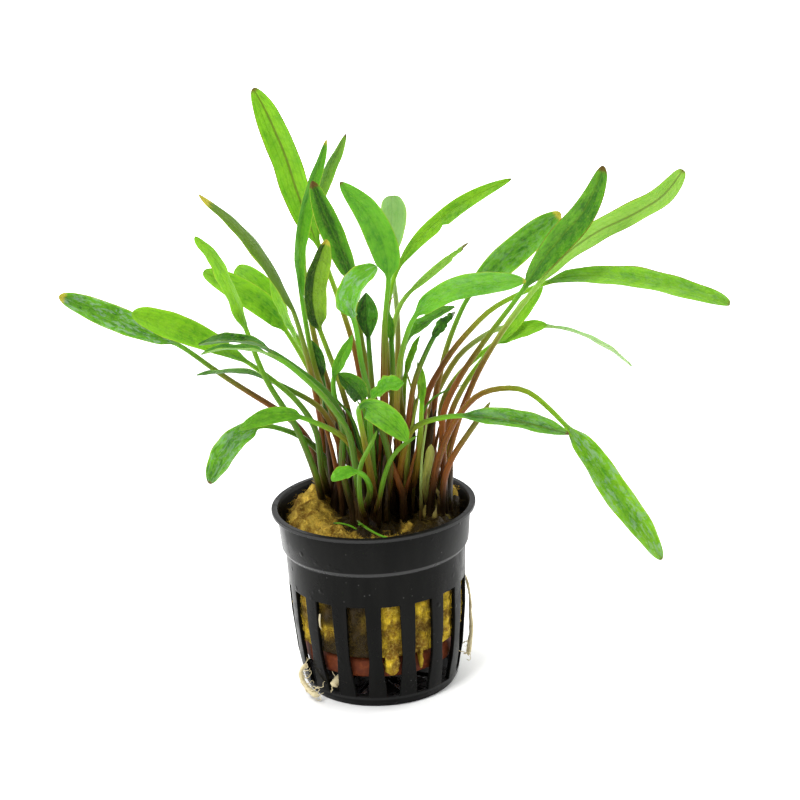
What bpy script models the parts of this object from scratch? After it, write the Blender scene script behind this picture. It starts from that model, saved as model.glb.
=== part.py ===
"""A potted cryptocoryne: a net pot, its rockwool plug on a clay disc, five crowns and their leaves.

The frame stands on the table: +Z is up, the origin is the middle of the pot's underside, and
-Y is the front. Lengths below are in millimetres and become metres when a mesh is made.
"""
import math

import bmesh
import bpy
from mathutils import Vector, kdtree

MM = 0.001
GAP = 0.35                      # room left between pieces that touch in the real plant

# Net pot
POT_HEIGHT = 49.0
POT_SEGMENTS = 48
RIM_RADIUS = 26.5
RIM_HEIGHT = 1.0
RIM_INNER_RADIUS = 25.0
STEP_HEIGHT = 38.2              # where the upper band stands out from the wall below it
FOOT_RADIUS = 19.4
WALL = 1.2
FLOOR = 1.4
# Outer wall below the step, as (height, radius): nearly straight, then drawn in at the foot
WALL_OUTSIDE = ((1.6, 20.3), (9.5, 21.8), (20.0, 22.8), (STEP_HEIGHT, 23.5))
BAND_BOTTOM_RADIUS = 24.4
BAND_TOP_RADIUS = 25.2

# Slots of the pot, as (height, half width): narrower where the foot draws in
SLOT_COUNT = 16
SLOT_TURN = 7.3                 # degrees from the front to the nearest slot, towards +X
SLOT_OUTLINE = ((2.8, 1.65), (5.5, 1.8), (14.0, 2.65), (29.0, 2.45))
DRAIN_COUNT = 8
DRAIN_WIDTH = 2.0
DRAIN_FROM, DRAIN_TO = 7.0, 15.0

# Clay disc
DISC_BOTTOM, DISC_TOP = 8.0, 13.8
DISC_RADIUS = 19.6
DISC_SEGMENTS = 24

# Rockwool plug
WOOL_BOTTOM = DISC_TOP + GAP
WOOL_SEGMENTS = 30
WOOL_TOP = 43.0
WOOL_SIDE_HEIGHTS = (WOOL_BOTTOM, 22.0, 30.0, 37.4)
WOOL_SHOULDER_RADIUS = 22.3     # radius above the step, where the plug swells
WOOL_TOP_SHARES = (0.93, 0.78, 0.58, 0.34)
# Lumps of the torn top, as (x, y, height, spread)
WOOL_LUMPS = ((-17, -3, 3.6, 6.5), (-9, -16, 2.6, 6), (4, -19, 2.2, 5), (14, -13, 2.0, 5),
              (18, 6, 3.4, 6), (-13, 14, 2.0, 6), (6, 18, 2.0, 6), (0, 2, -1.0, 9))

# Crowns, as name: (x, y, radius)
CROWN_BOTTOM, CROWN_TOP = 36.5, 47.6
CROWNS = {"left": (-11.5, 5.5, 4.6), "middle": (-1.2, -4.0, 5.5), "back": (-0.8, 12.6, 4.6),
          "centre": (7.8, 4.2, 4.9), "right": (16.2, -2.2, 4.7)}
CROWN_SEGMENTS = 10
SEAT_SPACING = 1.36             # spiral step between the leaf bases on a crown

# Leaf build
PETIOLE_STEP = 13.0             # length of one straight stretch of a petiole
BLADE_STEPS = 6
STEM_STEPS = 5
BASE_RADIUS = 0.95
NECK_RADIUS = 0.6
TIP_RADIUS = 0.2
BLADE_HALF_THICKNESS = 0.32
SPREAD_ROUNDS = 150
SPREAD_MARGIN = 0.8
SAMPLE_STEP = 1.3

# Leaves: name, crown, green, neck (index of the point where the blade starts), blade width, where
# along the blade it is widest (0 at the neck, 1 at the tip), fold (how far the edges stand up, as
# a share of the half width), the way the upper face looks, then the points that the leaf passes
# after its base, the last one its tip
LEAVES = (
    ("leaf_tall_left", "back", "bright", 3, 7.8, 0.5, 0.15, (-1, -3, 1),
     ((-1, 12, 67), (-3, 14, 89), (-7, 16, 102), (-10, 18, 112), (-13, 19, 121), (-16, 21, 130),
      (-19, 23, 141), (-22, 24, 148), (-25, 25, 154))),
    ("leaf_arching_grey", "left", "grey", 3, 5.2, 0.5, 0.3, (-1, 0, 1),
     ((-11, 5, 65), (-13, 5, 79), (-15, 4, 91), (-17, 2, 99), (-19, 0, 107), (-22, -1, 114),
      (-27, -2, 123), (-33, -3, 129), (-39, -4, 134))),
    ("leaf_bright_left", "left", "bright", 3, 6.6, 0.5, 0.25, (-3, -1, 1),
     ((-13, -2, 65), (-21, -6, 79), (-27, -8, 89), (-29, -10, 99), (-30, -11, 106), (-32, -12, 113),
      (-35, -13, 121), (-40, -14, 126))),
    ("leaf_broad_back_left", "back", "bright", 3, 6.4, 0.5, 0.15, (-1, -3, 2),
     ((-7, 12, 62), (-13, 14, 76), (-16, 16, 85), (-20, 17, 91), (-23, 18, 95), (-27, 19, 99),
      (-33, 20, 103), (-41, 22, 107))),
    ("leaf_round_back_left", "back", "bright", 3, 6.4, 0.6, 0.15, (-1, -3, 2),
     ((-5, 16, 61), (-12, 21, 75), (-17, 24, 85), (-20, 26, 91), (-23, 27, 95), (-26, 28, 100),
      (-30, 29, 103), (-33, 31, 105))),
    ("leaf_narrow_back_left", "back", "bright", 2, 4.6, 0.5, 0.2, (-2, -1, 1),
     ((-9, 8, 66), (-13, 9, 79), (-17, 10, 90), (-19, 10, 96), (-20, 11, 100), (-22, 12, 104),
      (-23, 13, 109))),
    ("leaf_far_left", "left", "mid", 4, 7.0, 0.55, 0.15, (0, -2, 2),
     ((-13, 6, 62), (-22, 5, 73), (-33, 4, 81), (-41, 3, 88), (-47, 2, 94), (-52, 2, 96),
      (-60, 1, 100), (-67, 0, 104), (-76, -1, 109))),
    ("leaf_low_left", "left", "bright", 3, 7.4, 0.68, 0.2, (0, -2, 2),
     ((-12, -2, 69), (-17, -5, 78), (-22, -7, 85), (-27, -8, 89), (-34, -10, 95), (-41, -11, 99),
      (-49, -12, 103), (-57, -13, 107))),
    ("leaf_small_low_left", "middle", "bright", 2, 5.0, 0.5, 0.2, (0, -1, 2),
     ((0, -12, 58), (0, -15, 63), (-3, -18, 66), (-5, -20, 66), (-8, -22, 65), (-10, -23, 64))),
    ("leaf_oval_front", "middle", "bright", 3, 7.0, 0.5, 0.15, (1, -3, 1),
     ((0, -10, 61), (-1, -17, 73), (-4, -24, 81), (-3, -29, 86), (1, -32, 86), (4, -34, 84),
      (7, -35, 81), (9, -36, 78))),
    ("leaf_folded_left_upper", "middle", "dark", 3, 4.6, 0.5, 0.4, (0, 0, 1),
     ((-4, -8, 73), (-9, -10, 82), (-15, -12, 89), (-22, -14, 95), (-27, -16, 98), (-31, -16, 99),
      (-36, -16, 99), (-41, -16, 99))),
    ("leaf_folded_left_lower", "middle", "mid", 3, 3.6, 0.5, 0.4, (0, 0, 1),
     ((-4, -12, 71), (-8, -14, 80), (-14, -17, 88), (-20, -20, 95), (-25, -23, 98), (-31, -24, 100),
      (-35, -24, 100), (-40, -24, 99))),
    ("leaf_thin_left", "left", "dark", 3, 4.2, 0.5, 0.3, (0, 1, 2),
     ((-11, 2, 66), (-13, 0, 76), (-18, -1, 81), (-24, -2, 84), (-28, -2, 86), (-33, -3, 87),
      (-38, -3, 87), (-43, -3, 87))),
    ("leaf_drooping_left", "left", "mid", 3, 6.4, 0.5, 0.2, (-1, -2, 1),
     ((-13, 3, 58), (-17, 0, 65), (-22, -4, 72), (-27, -8, 75), (-31, -10, 74), (-35, -12, 71),
      (-38, -14, 67), (-41, -15, 62))),
    ("leaf_twisted_left", "middle", "mid", 2, 4.2, 0.5, 0.3, (0, -1, 1),
     ((-5, -8, 67), (-10, -13, 75), (-16, -17, 79), (-20, -19, 81), (-25, -21, 81), (-29, -23, 80),
      (-32, -24, 79))),
    ("leaf_narrow_back", "back", "grey", 2, 4.2, 0.5, 0.3, (2, -2, 1),
     ((-10, 7, 69), (-14, 8, 85), (-15, 8, 98), (-16, 9, 106), (-16, 10, 115), (-15, 11, 121),
      (-13, 13, 127), (-9, 17, 136), (-7, 19, 141))),
    ("leaf_pointed_back", "back", "grey", 3, 4.6, 0.5, 0.4, (2, -2, 1),
     ((-8, 14, 66), (-13, 20, 87), (-15, 26, 101), (-15, 30, 111), (-13, 32, 119), (-9, 34, 126),
      (-6, 36, 132), (-2, 38, 138))),
    ("leaf_small_upright", "centre", "bright", 2, 3.8, 0.5, 0.2, (0, -3, 1),
     ((11, 0, 63), (12, -2, 70), (13, -3, 76), (14, -4, 80), (14, -4, 84), (13, -5, 88))),
    ("leaf_low_right", "centre", "mid", 3, 6.2, 0.5, 0.25, (0, -1, 2),
     ((7, -6, 62), (10, -12, 74), (15, -16, 78), (22, -18, 78), (28, -20, 77), (35, -22, 77),
      (43, -24, 75), (49, -26, 74))),
    ("leaf_dark_mottled", "centre", "dark", 3, 6.6, 0.5, 0.15, (-1, -3, 1),
     ((5, 4, 62), (1, 4, 78), (-1, 4, 92), (-2, 4, 106), (-4, 4, 113), (-6, 4, 119), (-8, 4, 125),
      (-11, 4, 134))),
    ("leaf_folded_tall", "middle", "dark", 3, 7.0, 0.5, 0.5, (1, -2, 0),
     ((-4, -4, 70), (-7, -5, 84), (-9, -6, 92), (-11, -7, 98), (-13, -8, 104), (-13, -9, 109),
      (-12, -10, 114), (-11, -11, 118), (-8, -12, 123))),
    ("leaf_centre_front", "centre", "bright", 3, 7.4, 0.4, 0.15, (-1, -3, 1),
     ((6, -2, 66), (5, -4, 85), (5, -5, 98), (7, -6, 111), (7, -7, 117), (6, -8, 122), (3, -9, 128),
      (-4, -11, 137))),
    ("leaf_pale_round", "back", "pale", 3, 7.4, 0.66, 0.1, (1, -3, 0),
     ((6, 20, 64), (9, 26, 84), (9, 29, 95), (8, 32, 104), (8, 33, 109), (9, 35, 113), (9, 36, 117),
      (9, 37, 121))),
    ("leaf_arching_right", "centre", "bright", 3, 4.2, 0.5, 0.2, (1, -1, 1),
     ((7, 6, 66), (5, 8, 88), (6, 10, 98), (8, 12, 106), (12, 13, 112), (18, 15, 117), (25, 17, 122),
      (32, 19, 125), (40, 20, 128))),
    ("leaf_torn_narrow", "centre", "mid", 2, 2.8, 0.5, 0.2, (1, -1, 1),
     ((8, 10, 68), (6, 10, 87), (9, 10, 99), (13, 10, 103), (16, 11, 105), (20, 11, 108),
      (24, 12, 111), (28, 12, 114))),
    ("leaf_mid_right", "centre", "mid", 3, 6.6, 0.5, 0.15, (0, -1, 1),
     ((7, -2, 66), (8, -8, 86), (9, -12, 97), (12, -14, 103), (17, -15, 107), (23, -17, 110),
      (30, -18, 111), (40, -20, 112))),
    ("leaf_back_right", "right", "grey", 2, 7.6, 0.5, 0.15, (1, -3, 1),
     ((17, 8, 68), (21, 14, 85), (27, 20, 97), (32, 22, 101), (38, 24, 106), (44, 26, 110),
      (53, 29, 116))),
    ("leaf_behind_right", "right", "bright", 2, 4.6, 0.5, 0.15, (1, -2, 0),
     ((18, 10, 64), (25, 14, 75), (34, 17, 85), (38, 18, 89), (41, 19, 93), (44, 20, 96),
      (47, 21, 99))),
    ("leaf_thin_arching_right", "right", "pale", 4, 5.2, 0.5, 0.2, (0, 0, 1),
     ((17, 14, 66), (21, 18, 77), (28, 22, 85), (39, 25, 88), (48, 27, 86), (55, 28, 84),
      (61, 29, 80), (67, 30, 76), (71, 31, 72))),
    ("leaf_small_right", "right", "mid", 2, 4.6, 0.5, 0.2, (0, -1, 1),
     ((16, 12, 66), (23, 15, 77), (33, 18, 84), (37, 19, 86), (41, 20, 87), (44, 20, 88),
      (48, 21, 88))),
    ("leaf_tall_right", "right", "mid", 3, 6.8, 0.55, 0.35, (1, -3, 1),
     ((18, 0, 73), (26, 0, 85), (34, 0, 96), (40, 0, 103), (44, -1, 110), (48, -2, 116),
      (54, -3, 122), (58, -3, 128), (61, -4, 136))),
    ("leaf_wavy_right", "right", "bright", 3, 6.0, 0.55, 0.2, (1, -2, 2),
     ((20, 4, 59), (25, 4, 74), (32, 4, 88), (43, 4, 102), (48, 5, 108), (56, 6, 114), (65, 8, 118),
      (74, 10, 121), (80, 11, 125), (83, 12, 130))),
    ("leaf_level_right", "right", "bright", 5, 7.4, 0.5, 0.2, (0, -1, 2),
     ((14, 4, 74), (19, 6, 82), (24, 7, 89), (30, 8, 95), (36, 8, 100), (45, 7, 103), (50, 6, 105),
      (60, 4, 105), (71, 0, 104), (82, -3, 102), (92, -6, 99))),
    ("leaf_drooping_right", "right", "bright", 6, 7.0, 0.5, 0.15, (1, -3, 1),
     ((15, -4, 58), (19, -8, 69), (24, -12, 79), (32, -16, 85), (39, -19, 85), (44, -21, 81),
      (48, -23, 76), (53, -24, 70), (58, -26, 61), (65, -28, 51), (71, -30, 41))),
    ("leaf_curled_front", "middle", "bright", 3, 6.0, 0.5, 0.3, (-1, -2, 1),
     ((1, -8, 72), (-1, -12, 88), (-2, -14, 97), (-2, -16, 104), (-4, -18, 108), (-3, -19, 112),
      (0, -19, 115), (4, -18, 117))),
    ("leaf_dark_centre", "middle", "dark", 2, 5.4, 0.5, 0.2, (0, -3, 1),
     ((1, 2, 69), (1, 0, 84), (1, -1, 93), (1, -1, 97), (1, 0, 100), (1, 2, 105))),
    ("leaf_narrow_centre", "centre", "dark", 2, 3.2, 0.5, 0.2, (-1, -2, 0),
     ((6, 0, 68), (8, -1, 85), (7, -2, 92), (7, -2, 95), (6, -2, 99), (6, -2, 102))),
    ("leaf_torn_dark", "centre", "dark", 3, 4.6, 0.5, 0.3, (-1, -2, 1),
     ((11, -4, 75), (12, -6, 84), (14, -7, 89), (17, -8, 95), (19, -8, 98), (23, -9, 102))),
    ("leaf_curled_mid", "centre", "mid", 2, 5.2, 0.5, 0.3, (-1, -1, 2),
     ((7, 2, 68), (8, 0, 81), (9, -2, 90), (11, -3, 94), (15, -4, 97), (18, -4, 99), (23, -5, 102))),
    ("leaf_slim_mid", "centre", "mid", 2, 3.6, 0.5, 0.2, (-1, -2, 1),
     ((9, 4, 64), (9, 2, 76), (9, 0, 82), (11, -1, 86), (12, -1, 90), (14, -2, 94))),
    ("leaf_slim_left", "middle", "mid", 2, 3.2, 0.5, 0.2, (1, -2, 1),
     ((-6, -8, 69), (-8, -9, 79), (-9, -10, 85), (-8, -10, 89), (-5, -11, 94), (-3, -11, 98))),
    ("leaf_dark_left", "left", "dark", 2, 4.4, 0.5, 0.2, (-1, -3, 1),
     ((-10, 8, 67), (-11, 8, 76), (-11, 8, 81), (-12, 8, 84), (-13, 8, 88), (-14, 8, 91))),
    ("leaf_folded_front", "middle", "bright", 2, 5.8, 0.5, 0.3, (0, -2, 2),
     ((1, -12, 69), (0, -17, 77), (0, -20, 84), (3, -22, 87), (6, -23, 87), (9, -24, 89))),
    ("leaf_dark_front", "middle", "dark", 2, 5.4, 0.5, 0.3, (0, -2, 2),
     ((-1, -10, 70), (0, -14, 78), (-1, -16, 83), (-2, -18, 85), (-4, -19, 87), (-7, -20, 91))),
)

# Stems with no blade: name, crown, colour, radius at the base and at the end, then their points
STEMS = (
    ("stem_bare_arching", "middle", "mid", 0.7, 0.5, ((3, -14, 61), (5, -16, 67), (8, -18, 71),
                                                      (12, -18, 73))),
    ("stem_bare_front", "middle", "mid", 0.7, 0.5, ((-3, -14, 64), (0, -18, 71), (2, -20, 76))),
    ("young_shoot", "right", "shoot", 0.6, 1.1, ((13, -2, 55), (13, -2, 61), (14, -2, 66))),
    ("petiole_cut", "right", "olive", 0.8, 0.7, ((18, -6, 61), (22, -7, 66), (27, -8, 72),
                                                 (31, -9, 78))),
)

# Roots that come out of the pot: name, radius at the start and at the end, then their points
ROOTS = (
    ("root_left", 1.1, 1.4, ((-19.3, -11.0, 9.5), (-21.4, -10.9, 7), (-20.6, -12.3, 4),
                             (-16.6, -16.2, 2.0))),
    ("root_slot", 1.1, 1.1, ((-10.9, -13.4, 6), (-12.0, -14.9, 5.4), (-12.9, -16.0, 4.6))),
    ("root_right", 0.6, 1.1, ((22.6, 2.9, 27.5), (24.0, 2.2, 22), (24.2, 0.4, 16),
                              (23.7, -1.4, 10), (22.7, -3.0, 4.5))),
)

# Colours, as (colour, roughness)
COLOURS = {
    "pot": ((0.012, 0.013, 0.014), 0.38), "wool": ((0.24, 0.14, 0.02), 0.95),
    "clay": ((0.22, 0.045, 0.012), 0.85), "crown": ((0.10, 0.045, 0.015), 0.6),
    "bright": ((0.14, 0.40, 0.02), 0.35), "mid": ((0.09, 0.29, 0.02), 0.35),
    "dark": ((0.035, 0.13, 0.012), 0.35), "grey": ((0.13, 0.25, 0.05), 0.4),
    "pale": ((0.30, 0.47, 0.12), 0.4), "shoot": ((0.58, 0.55, 0.20), 0.4),
    "olive": ((0.22, 0.22, 0.03), 0.4), "root": ((0.68, 0.61, 0.40), 0.6),
}


def clear_scene():
    for item in list(bpy.data.objects):
        bpy.data.objects.remove(item, do_unlink=True)


def material(name, colour, roughness):
    made = bpy.data.materials.new(name)
    made.use_nodes = True
    shader = made.node_tree.nodes["Principled BSDF"]
    shader.inputs["Base Color"].default_value = (*colour, 1.0)
    shader.inputs["Roughness"].default_value = roughness
    shader.inputs["Metallic"].default_value = 0.0
    return made


def add_object(name, mesh_builder, colour):
    """Turn a bmesh in millimetres into an object in metres with its own material."""
    bmesh.ops.scale(mesh_builder, vec=(MM, MM, MM), verts=mesh_builder.verts)
    mesh = bpy.data.meshes.new(name)
    mesh_builder.to_mesh(mesh)
    mesh_builder.free()
    mesh.shade_smooth()
    mesh.set_sharp_from_angle(angle=math.radians(40))
    made = bpy.data.objects.new(name, mesh)
    bpy.context.scene.collection.objects.link(made)
    if colour:
        made.data.materials.append(material(name, *COLOURS[colour]))
    return made


def turned(profile, segments):
    """Spin an open profile of (radius, height) points, both ends on the axis, into a solid."""
    builder = bmesh.new()
    points = [builder.verts.new((radius, 0.0, height)) for radius, height in profile]
    edges = [builder.edges.new(pair) for pair in zip(points, points[1:])]
    bmesh.ops.spin(builder, geom=points + edges, cent=(0, 0, 0), axis=(0, 0, 1), dvec=(0, 0, 0),
                   angle=2 * math.pi, steps=segments, use_merge=True)
    bmesh.ops.remove_doubles(builder, verts=builder.verts, dist=1e-4)
    bmesh.ops.recalc_face_normals(builder, faces=builder.faces)
    return builder


def cut(target, cutter):
    """Boolean difference; the cutter stays in the scene as a hidden guide."""
    cutter.hide_render = True
    cutter.display_type = "WIRE"
    modifier = target.modifiers.new(cutter.name, "BOOLEAN")
    modifier.operation = "DIFFERENCE"
    modifier.solver = "EXACT"
    modifier.object = cutter


def prism(builder, outline, length):
    """A closed prism: an outline of points pushed along a vector."""
    face = builder.faces.new([builder.verts.new(point) for point in outline])
    pushed = bmesh.ops.extrude_face_region(builder, geom=[face])["geom"]
    moved = [item for item in pushed if isinstance(item, bmesh.types.BMVert)]
    bmesh.ops.translate(builder, vec=length, verts=moved)


def around(direction, distance, height):
    """A point seen from the pot's axis: direction in degrees from the front towards +X."""
    turn = math.radians(direction)
    return Vector((distance * math.sin(turn), -distance * math.cos(turn), height))


def inside_radius(height):
    """Radius of the pot's inner wall below the step."""
    for (low, low_radius), (high, high_radius) in zip(WALL_OUTSIDE, WALL_OUTSIDE[1:]):
        if height <= high:
            share = max(0.0, (height - low) / (high - low))
            return low_radius + share * (high_radius - low_radius) - WALL
    return WALL_OUTSIDE[-1][1] - WALL


def build_pot():
    outside = [(0.0, 0.0), (FOOT_RADIUS, 0.0)]
    outside += [(radius, height) for height, radius in WALL_OUTSIDE]
    outside += [(BAND_BOTTOM_RADIUS, STEP_HEIGHT + 0.7), (BAND_TOP_RADIUS, POT_HEIGHT - RIM_HEIGHT),
                (RIM_RADIUS, POT_HEIGHT - RIM_HEIGHT), (RIM_RADIUS, POT_HEIGHT)]
    inside = [(RIM_INNER_RADIUS, POT_HEIGHT), (BAND_TOP_RADIUS - WALL, POT_HEIGHT - 2.6),
              (BAND_BOTTOM_RADIUS - WALL, STEP_HEIGHT + 1.0)]
    inside += [(radius - WALL, height - 0.4) for height, radius in reversed(WALL_OUTSIDE[1:])]
    inside += [(FOOT_RADIUS - 0.4, FLOOR + 1.0), (0.0, FLOOR)]
    pot = add_object("net_pot", turned(outside + inside, POT_SEGMENTS), "pot")

    slots = bmesh.new()
    for index in range(SLOT_COUNT):
        direction = SLOT_TURN + 360.0 * index / SLOT_COUNT
        sideways = around(direction + 90, 1, 0)
        near = [around(direction, 15, height) + half * sideways for height, half in SLOT_OUTLINE]
        far = [around(direction, 15, height) - half * sideways for height, half in SLOT_OUTLINE]
        prism(slots, near + far[::-1], around(direction, 15, 0))
    bmesh.ops.recalc_face_normals(slots, faces=slots.faces)
    cut(pot, add_object("guide_slots", slots, None))

    drains = bmesh.new()
    for index in range(DRAIN_COUNT):
        direction = 360.0 * (index + 0.5) / DRAIN_COUNT
        sideways = around(direction + 90, DRAIN_WIDTH / 2, 0)
        start, end = around(direction, DRAIN_FROM, -2), around(direction, DRAIN_TO, -2)
        prism(drains, (start - sideways, end - sideways, end + sideways, start + sideways), (0, 0, 6))
    bmesh.ops.recalc_face_normals(drains, faces=drains.faces)
    cut(pot, add_object("guide_drains", drains, None))


def build_disc():
    profile = [(0, DISC_BOTTOM), (DISC_RADIUS, DISC_BOTTOM), (DISC_RADIUS + 0.2, DISC_TOP - 0.6),
               (DISC_RADIUS - 0.3, DISC_TOP), (0, DISC_TOP)]
    add_object("clay_disc", turned(profile, DISC_SEGMENTS), "clay")


def wool_height(x, y):
    """Height of the plug's torn top over a point."""
    lumps = (rise * math.exp(-((x - lump_x) ** 2 + (y - lump_y) ** 2) / (2 * spread ** 2))
             for lump_x, lump_y, rise, spread in WOOL_LUMPS)
    return WOOL_TOP + sum(lumps)


def build_wool():
    profile = [(0, WOOL_BOTTOM)]
    profile += [(inside_radius(height) - GAP - 0.1, height) for height in WOOL_SIDE_HEIGHTS]
    profile += [(WOOL_SHOULDER_RADIUS, 40.5)]
    profile += [(WOOL_SHOULDER_RADIUS * share, WOOL_TOP) for share in WOOL_TOP_SHARES]
    profile += [(0, WOOL_TOP)]
    builder = turned(profile, WOOL_SEGMENTS)
    for vert in builder.verts:
        if vert.co.z > WOOL_TOP - 0.01:
            vert.co.z = wool_height(vert.co.x, vert.co.y)
    wool = add_object("rockwool_plug", builder, "wool")
    pockets = bmesh.new()
    for x, y, radius in CROWNS.values():
        outline = [Vector((x, y, CROWN_BOTTOM - GAP)) + around(90 + 36 * step, radius + GAP, 0)
                   for step in range(CROWN_SEGMENTS)]
        prism(pockets, outline, (0, 0, 20))
    bmesh.ops.recalc_face_normals(pockets, faces=pockets.faces)
    cut(wool, add_object("guide_pockets", pockets, None))


def build_crowns():
    for name, (x, y, radius) in CROWNS.items():
        builder = turned([(0, CROWN_BOTTOM), (radius * 0.7, CROWN_BOTTOM), (radius, CROWN_BOTTOM + 3),
                          (radius, CROWN_TOP - 0.6), (radius - 0.6, CROWN_TOP), (0, CROWN_TOP)],
                         CROWN_SEGMENTS)
        bmesh.ops.translate(builder, vec=(x, y, 0), verts=builder.verts)
        add_object("crown_" + name, builder, "crown")


def smooth_route(points, samples=16):
    """Points along a smooth curve through the given ones, with the index of each given one."""
    padded = [2 * points[0] - points[1]] + list(points) + [2 * points[-1] - points[-2]]
    route = [points[0].copy()]
    marks = [0]
    for before, start, end, after in zip(padded, padded[1:], padded[2:], padded[3:]):
        for step in range(1, samples + 1):
            t = step / samples
            route.append(0.5 * (2 * start + (end - before) * t
                                + (2 * before - 5 * start + 4 * end - after) * t * t
                                + (3 * start - before - 3 * end + after) * t ** 3))
        marks.append(len(route) - 1)
    return route, marks


def route_length(route):
    return sum((end - start).length for start, end in zip(route, route[1:]))


def even_points(route, count):
    """Points an equal distance apart along a route, both ends included."""
    lengths = [0.0]
    for start, end in zip(route, route[1:]):
        lengths.append(lengths[-1] + (end - start).length)
    spaced = []
    place = 0
    for index in range(count + 1):
        wanted = lengths[-1] * index / count
        while place < len(route) - 2 and lengths[place + 1] < wanted:
            place += 1
        span = lengths[place + 1] - lengths[place]
        spaced.append(route[place].lerp(route[place + 1], (wanted - lengths[place]) / span))
    return spaced


def free_seats(crown):
    """Places for leaf bases on a crown's top, on a sunflower spiral."""
    x, y, radius = CROWNS[crown]
    seats = []
    index = 0
    while True:
        distance = SEAT_SPACING * math.sqrt(index + 0.3)
        if distance > radius - BASE_RADIUS * 0.5:
            return seats
        seats.append(Vector((x, y, 0)) + around(137.5 * index, distance, 0))
        index += 1


def take_seat(seats, crown, leans_to, radius):
    """Give a leaf the free place nearest to the side it leans to, and return its base."""
    x, y, crown_radius = CROWNS[crown]
    lean = Vector((leans_to.x - x, leans_to.y - y, 0))
    wish = Vector((x, y, 0)) + lean * min(1.0, 0.7 * crown_radius / max(lean.length, 0.1))
    seat = min(seats[crown], key=lambda place: (place - wish).length)
    seats[crown].remove(seat)
    slope = (leans_to - Vector((seat.x, seat.y, CROWN_TOP))).normalized()
    tilt = max(0.7, math.hypot(slope.x, slope.y))
    return Vector((seat.x, seat.y, CROWN_TOP + GAP + radius * tilt))


class Strand:
    """A leaf, stem or root as a row of rings: centre, half width, half thickness and fold."""

    def __init__(self, name, colour, centres, widths, thicknesses, fold, looks):
        self.name = name
        self.colour = colour
        self.centres = centres
        self.widths = widths
        self.thicknesses = thicknesses
        self.fold = fold
        self.looks = Vector(looks).normalized()

    def frames(self):
        """For each centre, the direction across the blade and the one its upper face looks to."""
        last = len(self.centres) - 1
        normal = self.looks
        found = []
        for index in range(last + 1):
            along = self.centres[min(index + 1, last)] - self.centres[max(index - 1, 0)]
            along.normalize()
            wanted = self.looks - self.looks.dot(along) * along
            if wanted.length < 0.35:
                wanted = normal - normal.dot(along) * along
            normal = wanted.normalized()
            found.append((along.cross(normal), normal))
        return found

    def samples(self):
        """Points all over the strand, each with its radius and the rings that it hangs between."""
        frames = self.frames()
        points = []
        for index in range(len(self.centres) - 1):
            start, end = self.centres[index], self.centres[index + 1]
            steps = max(1, math.ceil((end - start).length / SAMPLE_STEP))
            for step in range(steps):
                share = step / steps
                centre = start.lerp(end, share)
                width = self.widths[index] * (1 - share) + self.widths[index + 1] * share
                across = frames[index][0].lerp(frames[index + 1][0], share)
                rise = frames[index][1].lerp(frames[index + 1][1], share)
                thick = self.thicknesses[index] * (1 - share) + self.thicknesses[index + 1] * share
                lanes = 1 if width < 1.1 else 2 * math.ceil(width / SAMPLE_STEP) + 1
                for lane in range(lanes):
                    side = 0.0 if lanes == 1 else 2.0 * lane / (lanes - 1) - 1
                    place = centre + across * side * width + rise * abs(side) * width * self.fold
                    points.append((place, thick, index, share))
        return points

    def build(self):
        """A closed mesh of six-sided rings, with a fan over the base and a point at the tip."""
        builder = bmesh.new()
        rings = []
        for centre, width, thick, (across, normal) in zip(self.centres, self.widths,
                                                         self.thicknesses, self.frames()):
            edge = self.fold * width if width > thick * 1.2 else 0.0
            section = ((-1, 0, edge), (-0.5, -0.87, edge / 2), (0.5, -0.87, edge / 2), (1, 0, edge),
                       (0.5, 0.87, edge / 2), (-0.5, 0.87, edge / 2))
            rings.append([builder.verts.new(centre + across * side * width
                                            + normal * (up * thick + lift))
                          for side, up, lift in section])
        for low, high in zip(rings[:-1], rings[1:-1]):
            for index in range(6):
                following = (index + 1) % 6
                builder.faces.new((low[index], low[following], high[following], high[index]))
        base = builder.verts.new(self.centres[0])
        tip = builder.verts.new(self.centres[-1])
        for vert in rings[-1]:
            builder.verts.remove(vert)
        for index in range(6):
            following = (index + 1) % 6
            builder.faces.new((rings[0][following], rings[0][index], base))
            builder.faces.new((rings[-2][index], rings[-2][following], tip))
        bmesh.ops.recalc_face_normals(builder, faces=builder.faces)
        bmesh.ops.triangulate(builder, faces=builder.faces)
        add_object(self.name, builder, self.colour)


def blade_share(t, widest):
    """Half width of a blade along its length, as a share of its widest."""
    t = t ** (math.log(0.5) / math.log(widest))
    return (4 * t * (1 - t)) ** 0.6


def leaf_strand(seats, name, crown, colour, neck, width, widest, fold, looks, points):
    points = [Vector(point) for point in points]
    base = take_seat(seats, crown, points[1], BASE_RADIUS)
    route, marks = smooth_route([base] + points)
    split = marks[neck + 1]
    petiole, blade = route[:split + 1], route[split:]
    steps = max(2, round(route_length(petiole) / PETIOLE_STEP))
    centres = even_points(petiole, steps) + even_points(blade, BLADE_STEPS)[1:]
    widths = [BASE_RADIUS + (NECK_RADIUS - BASE_RADIUS) * step / steps for step in range(steps + 1)]
    thicknesses = list(widths)
    for step in range(1, BLADE_STEPS + 1):
        widths.append(max(TIP_RADIUS, width / 2 * blade_share(step / BLADE_STEPS, widest)))
        thicknesses.append(BLADE_HALF_THICKNESS)
    return Strand(name, colour, centres, widths, thicknesses, fold, looks)


def tube_strand(name, colour, base_radius, end_radius, points):
    route, _ = smooth_route(points)
    centres = even_points(route, STEM_STEPS)
    radii = [base_radius + (end_radius - base_radius) * step / STEM_STEPS
             for step in range(STEM_STEPS + 1)]
    return Strand(name, colour, centres, radii, radii, 0.0, (0.3, -1, 0.2))


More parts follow.
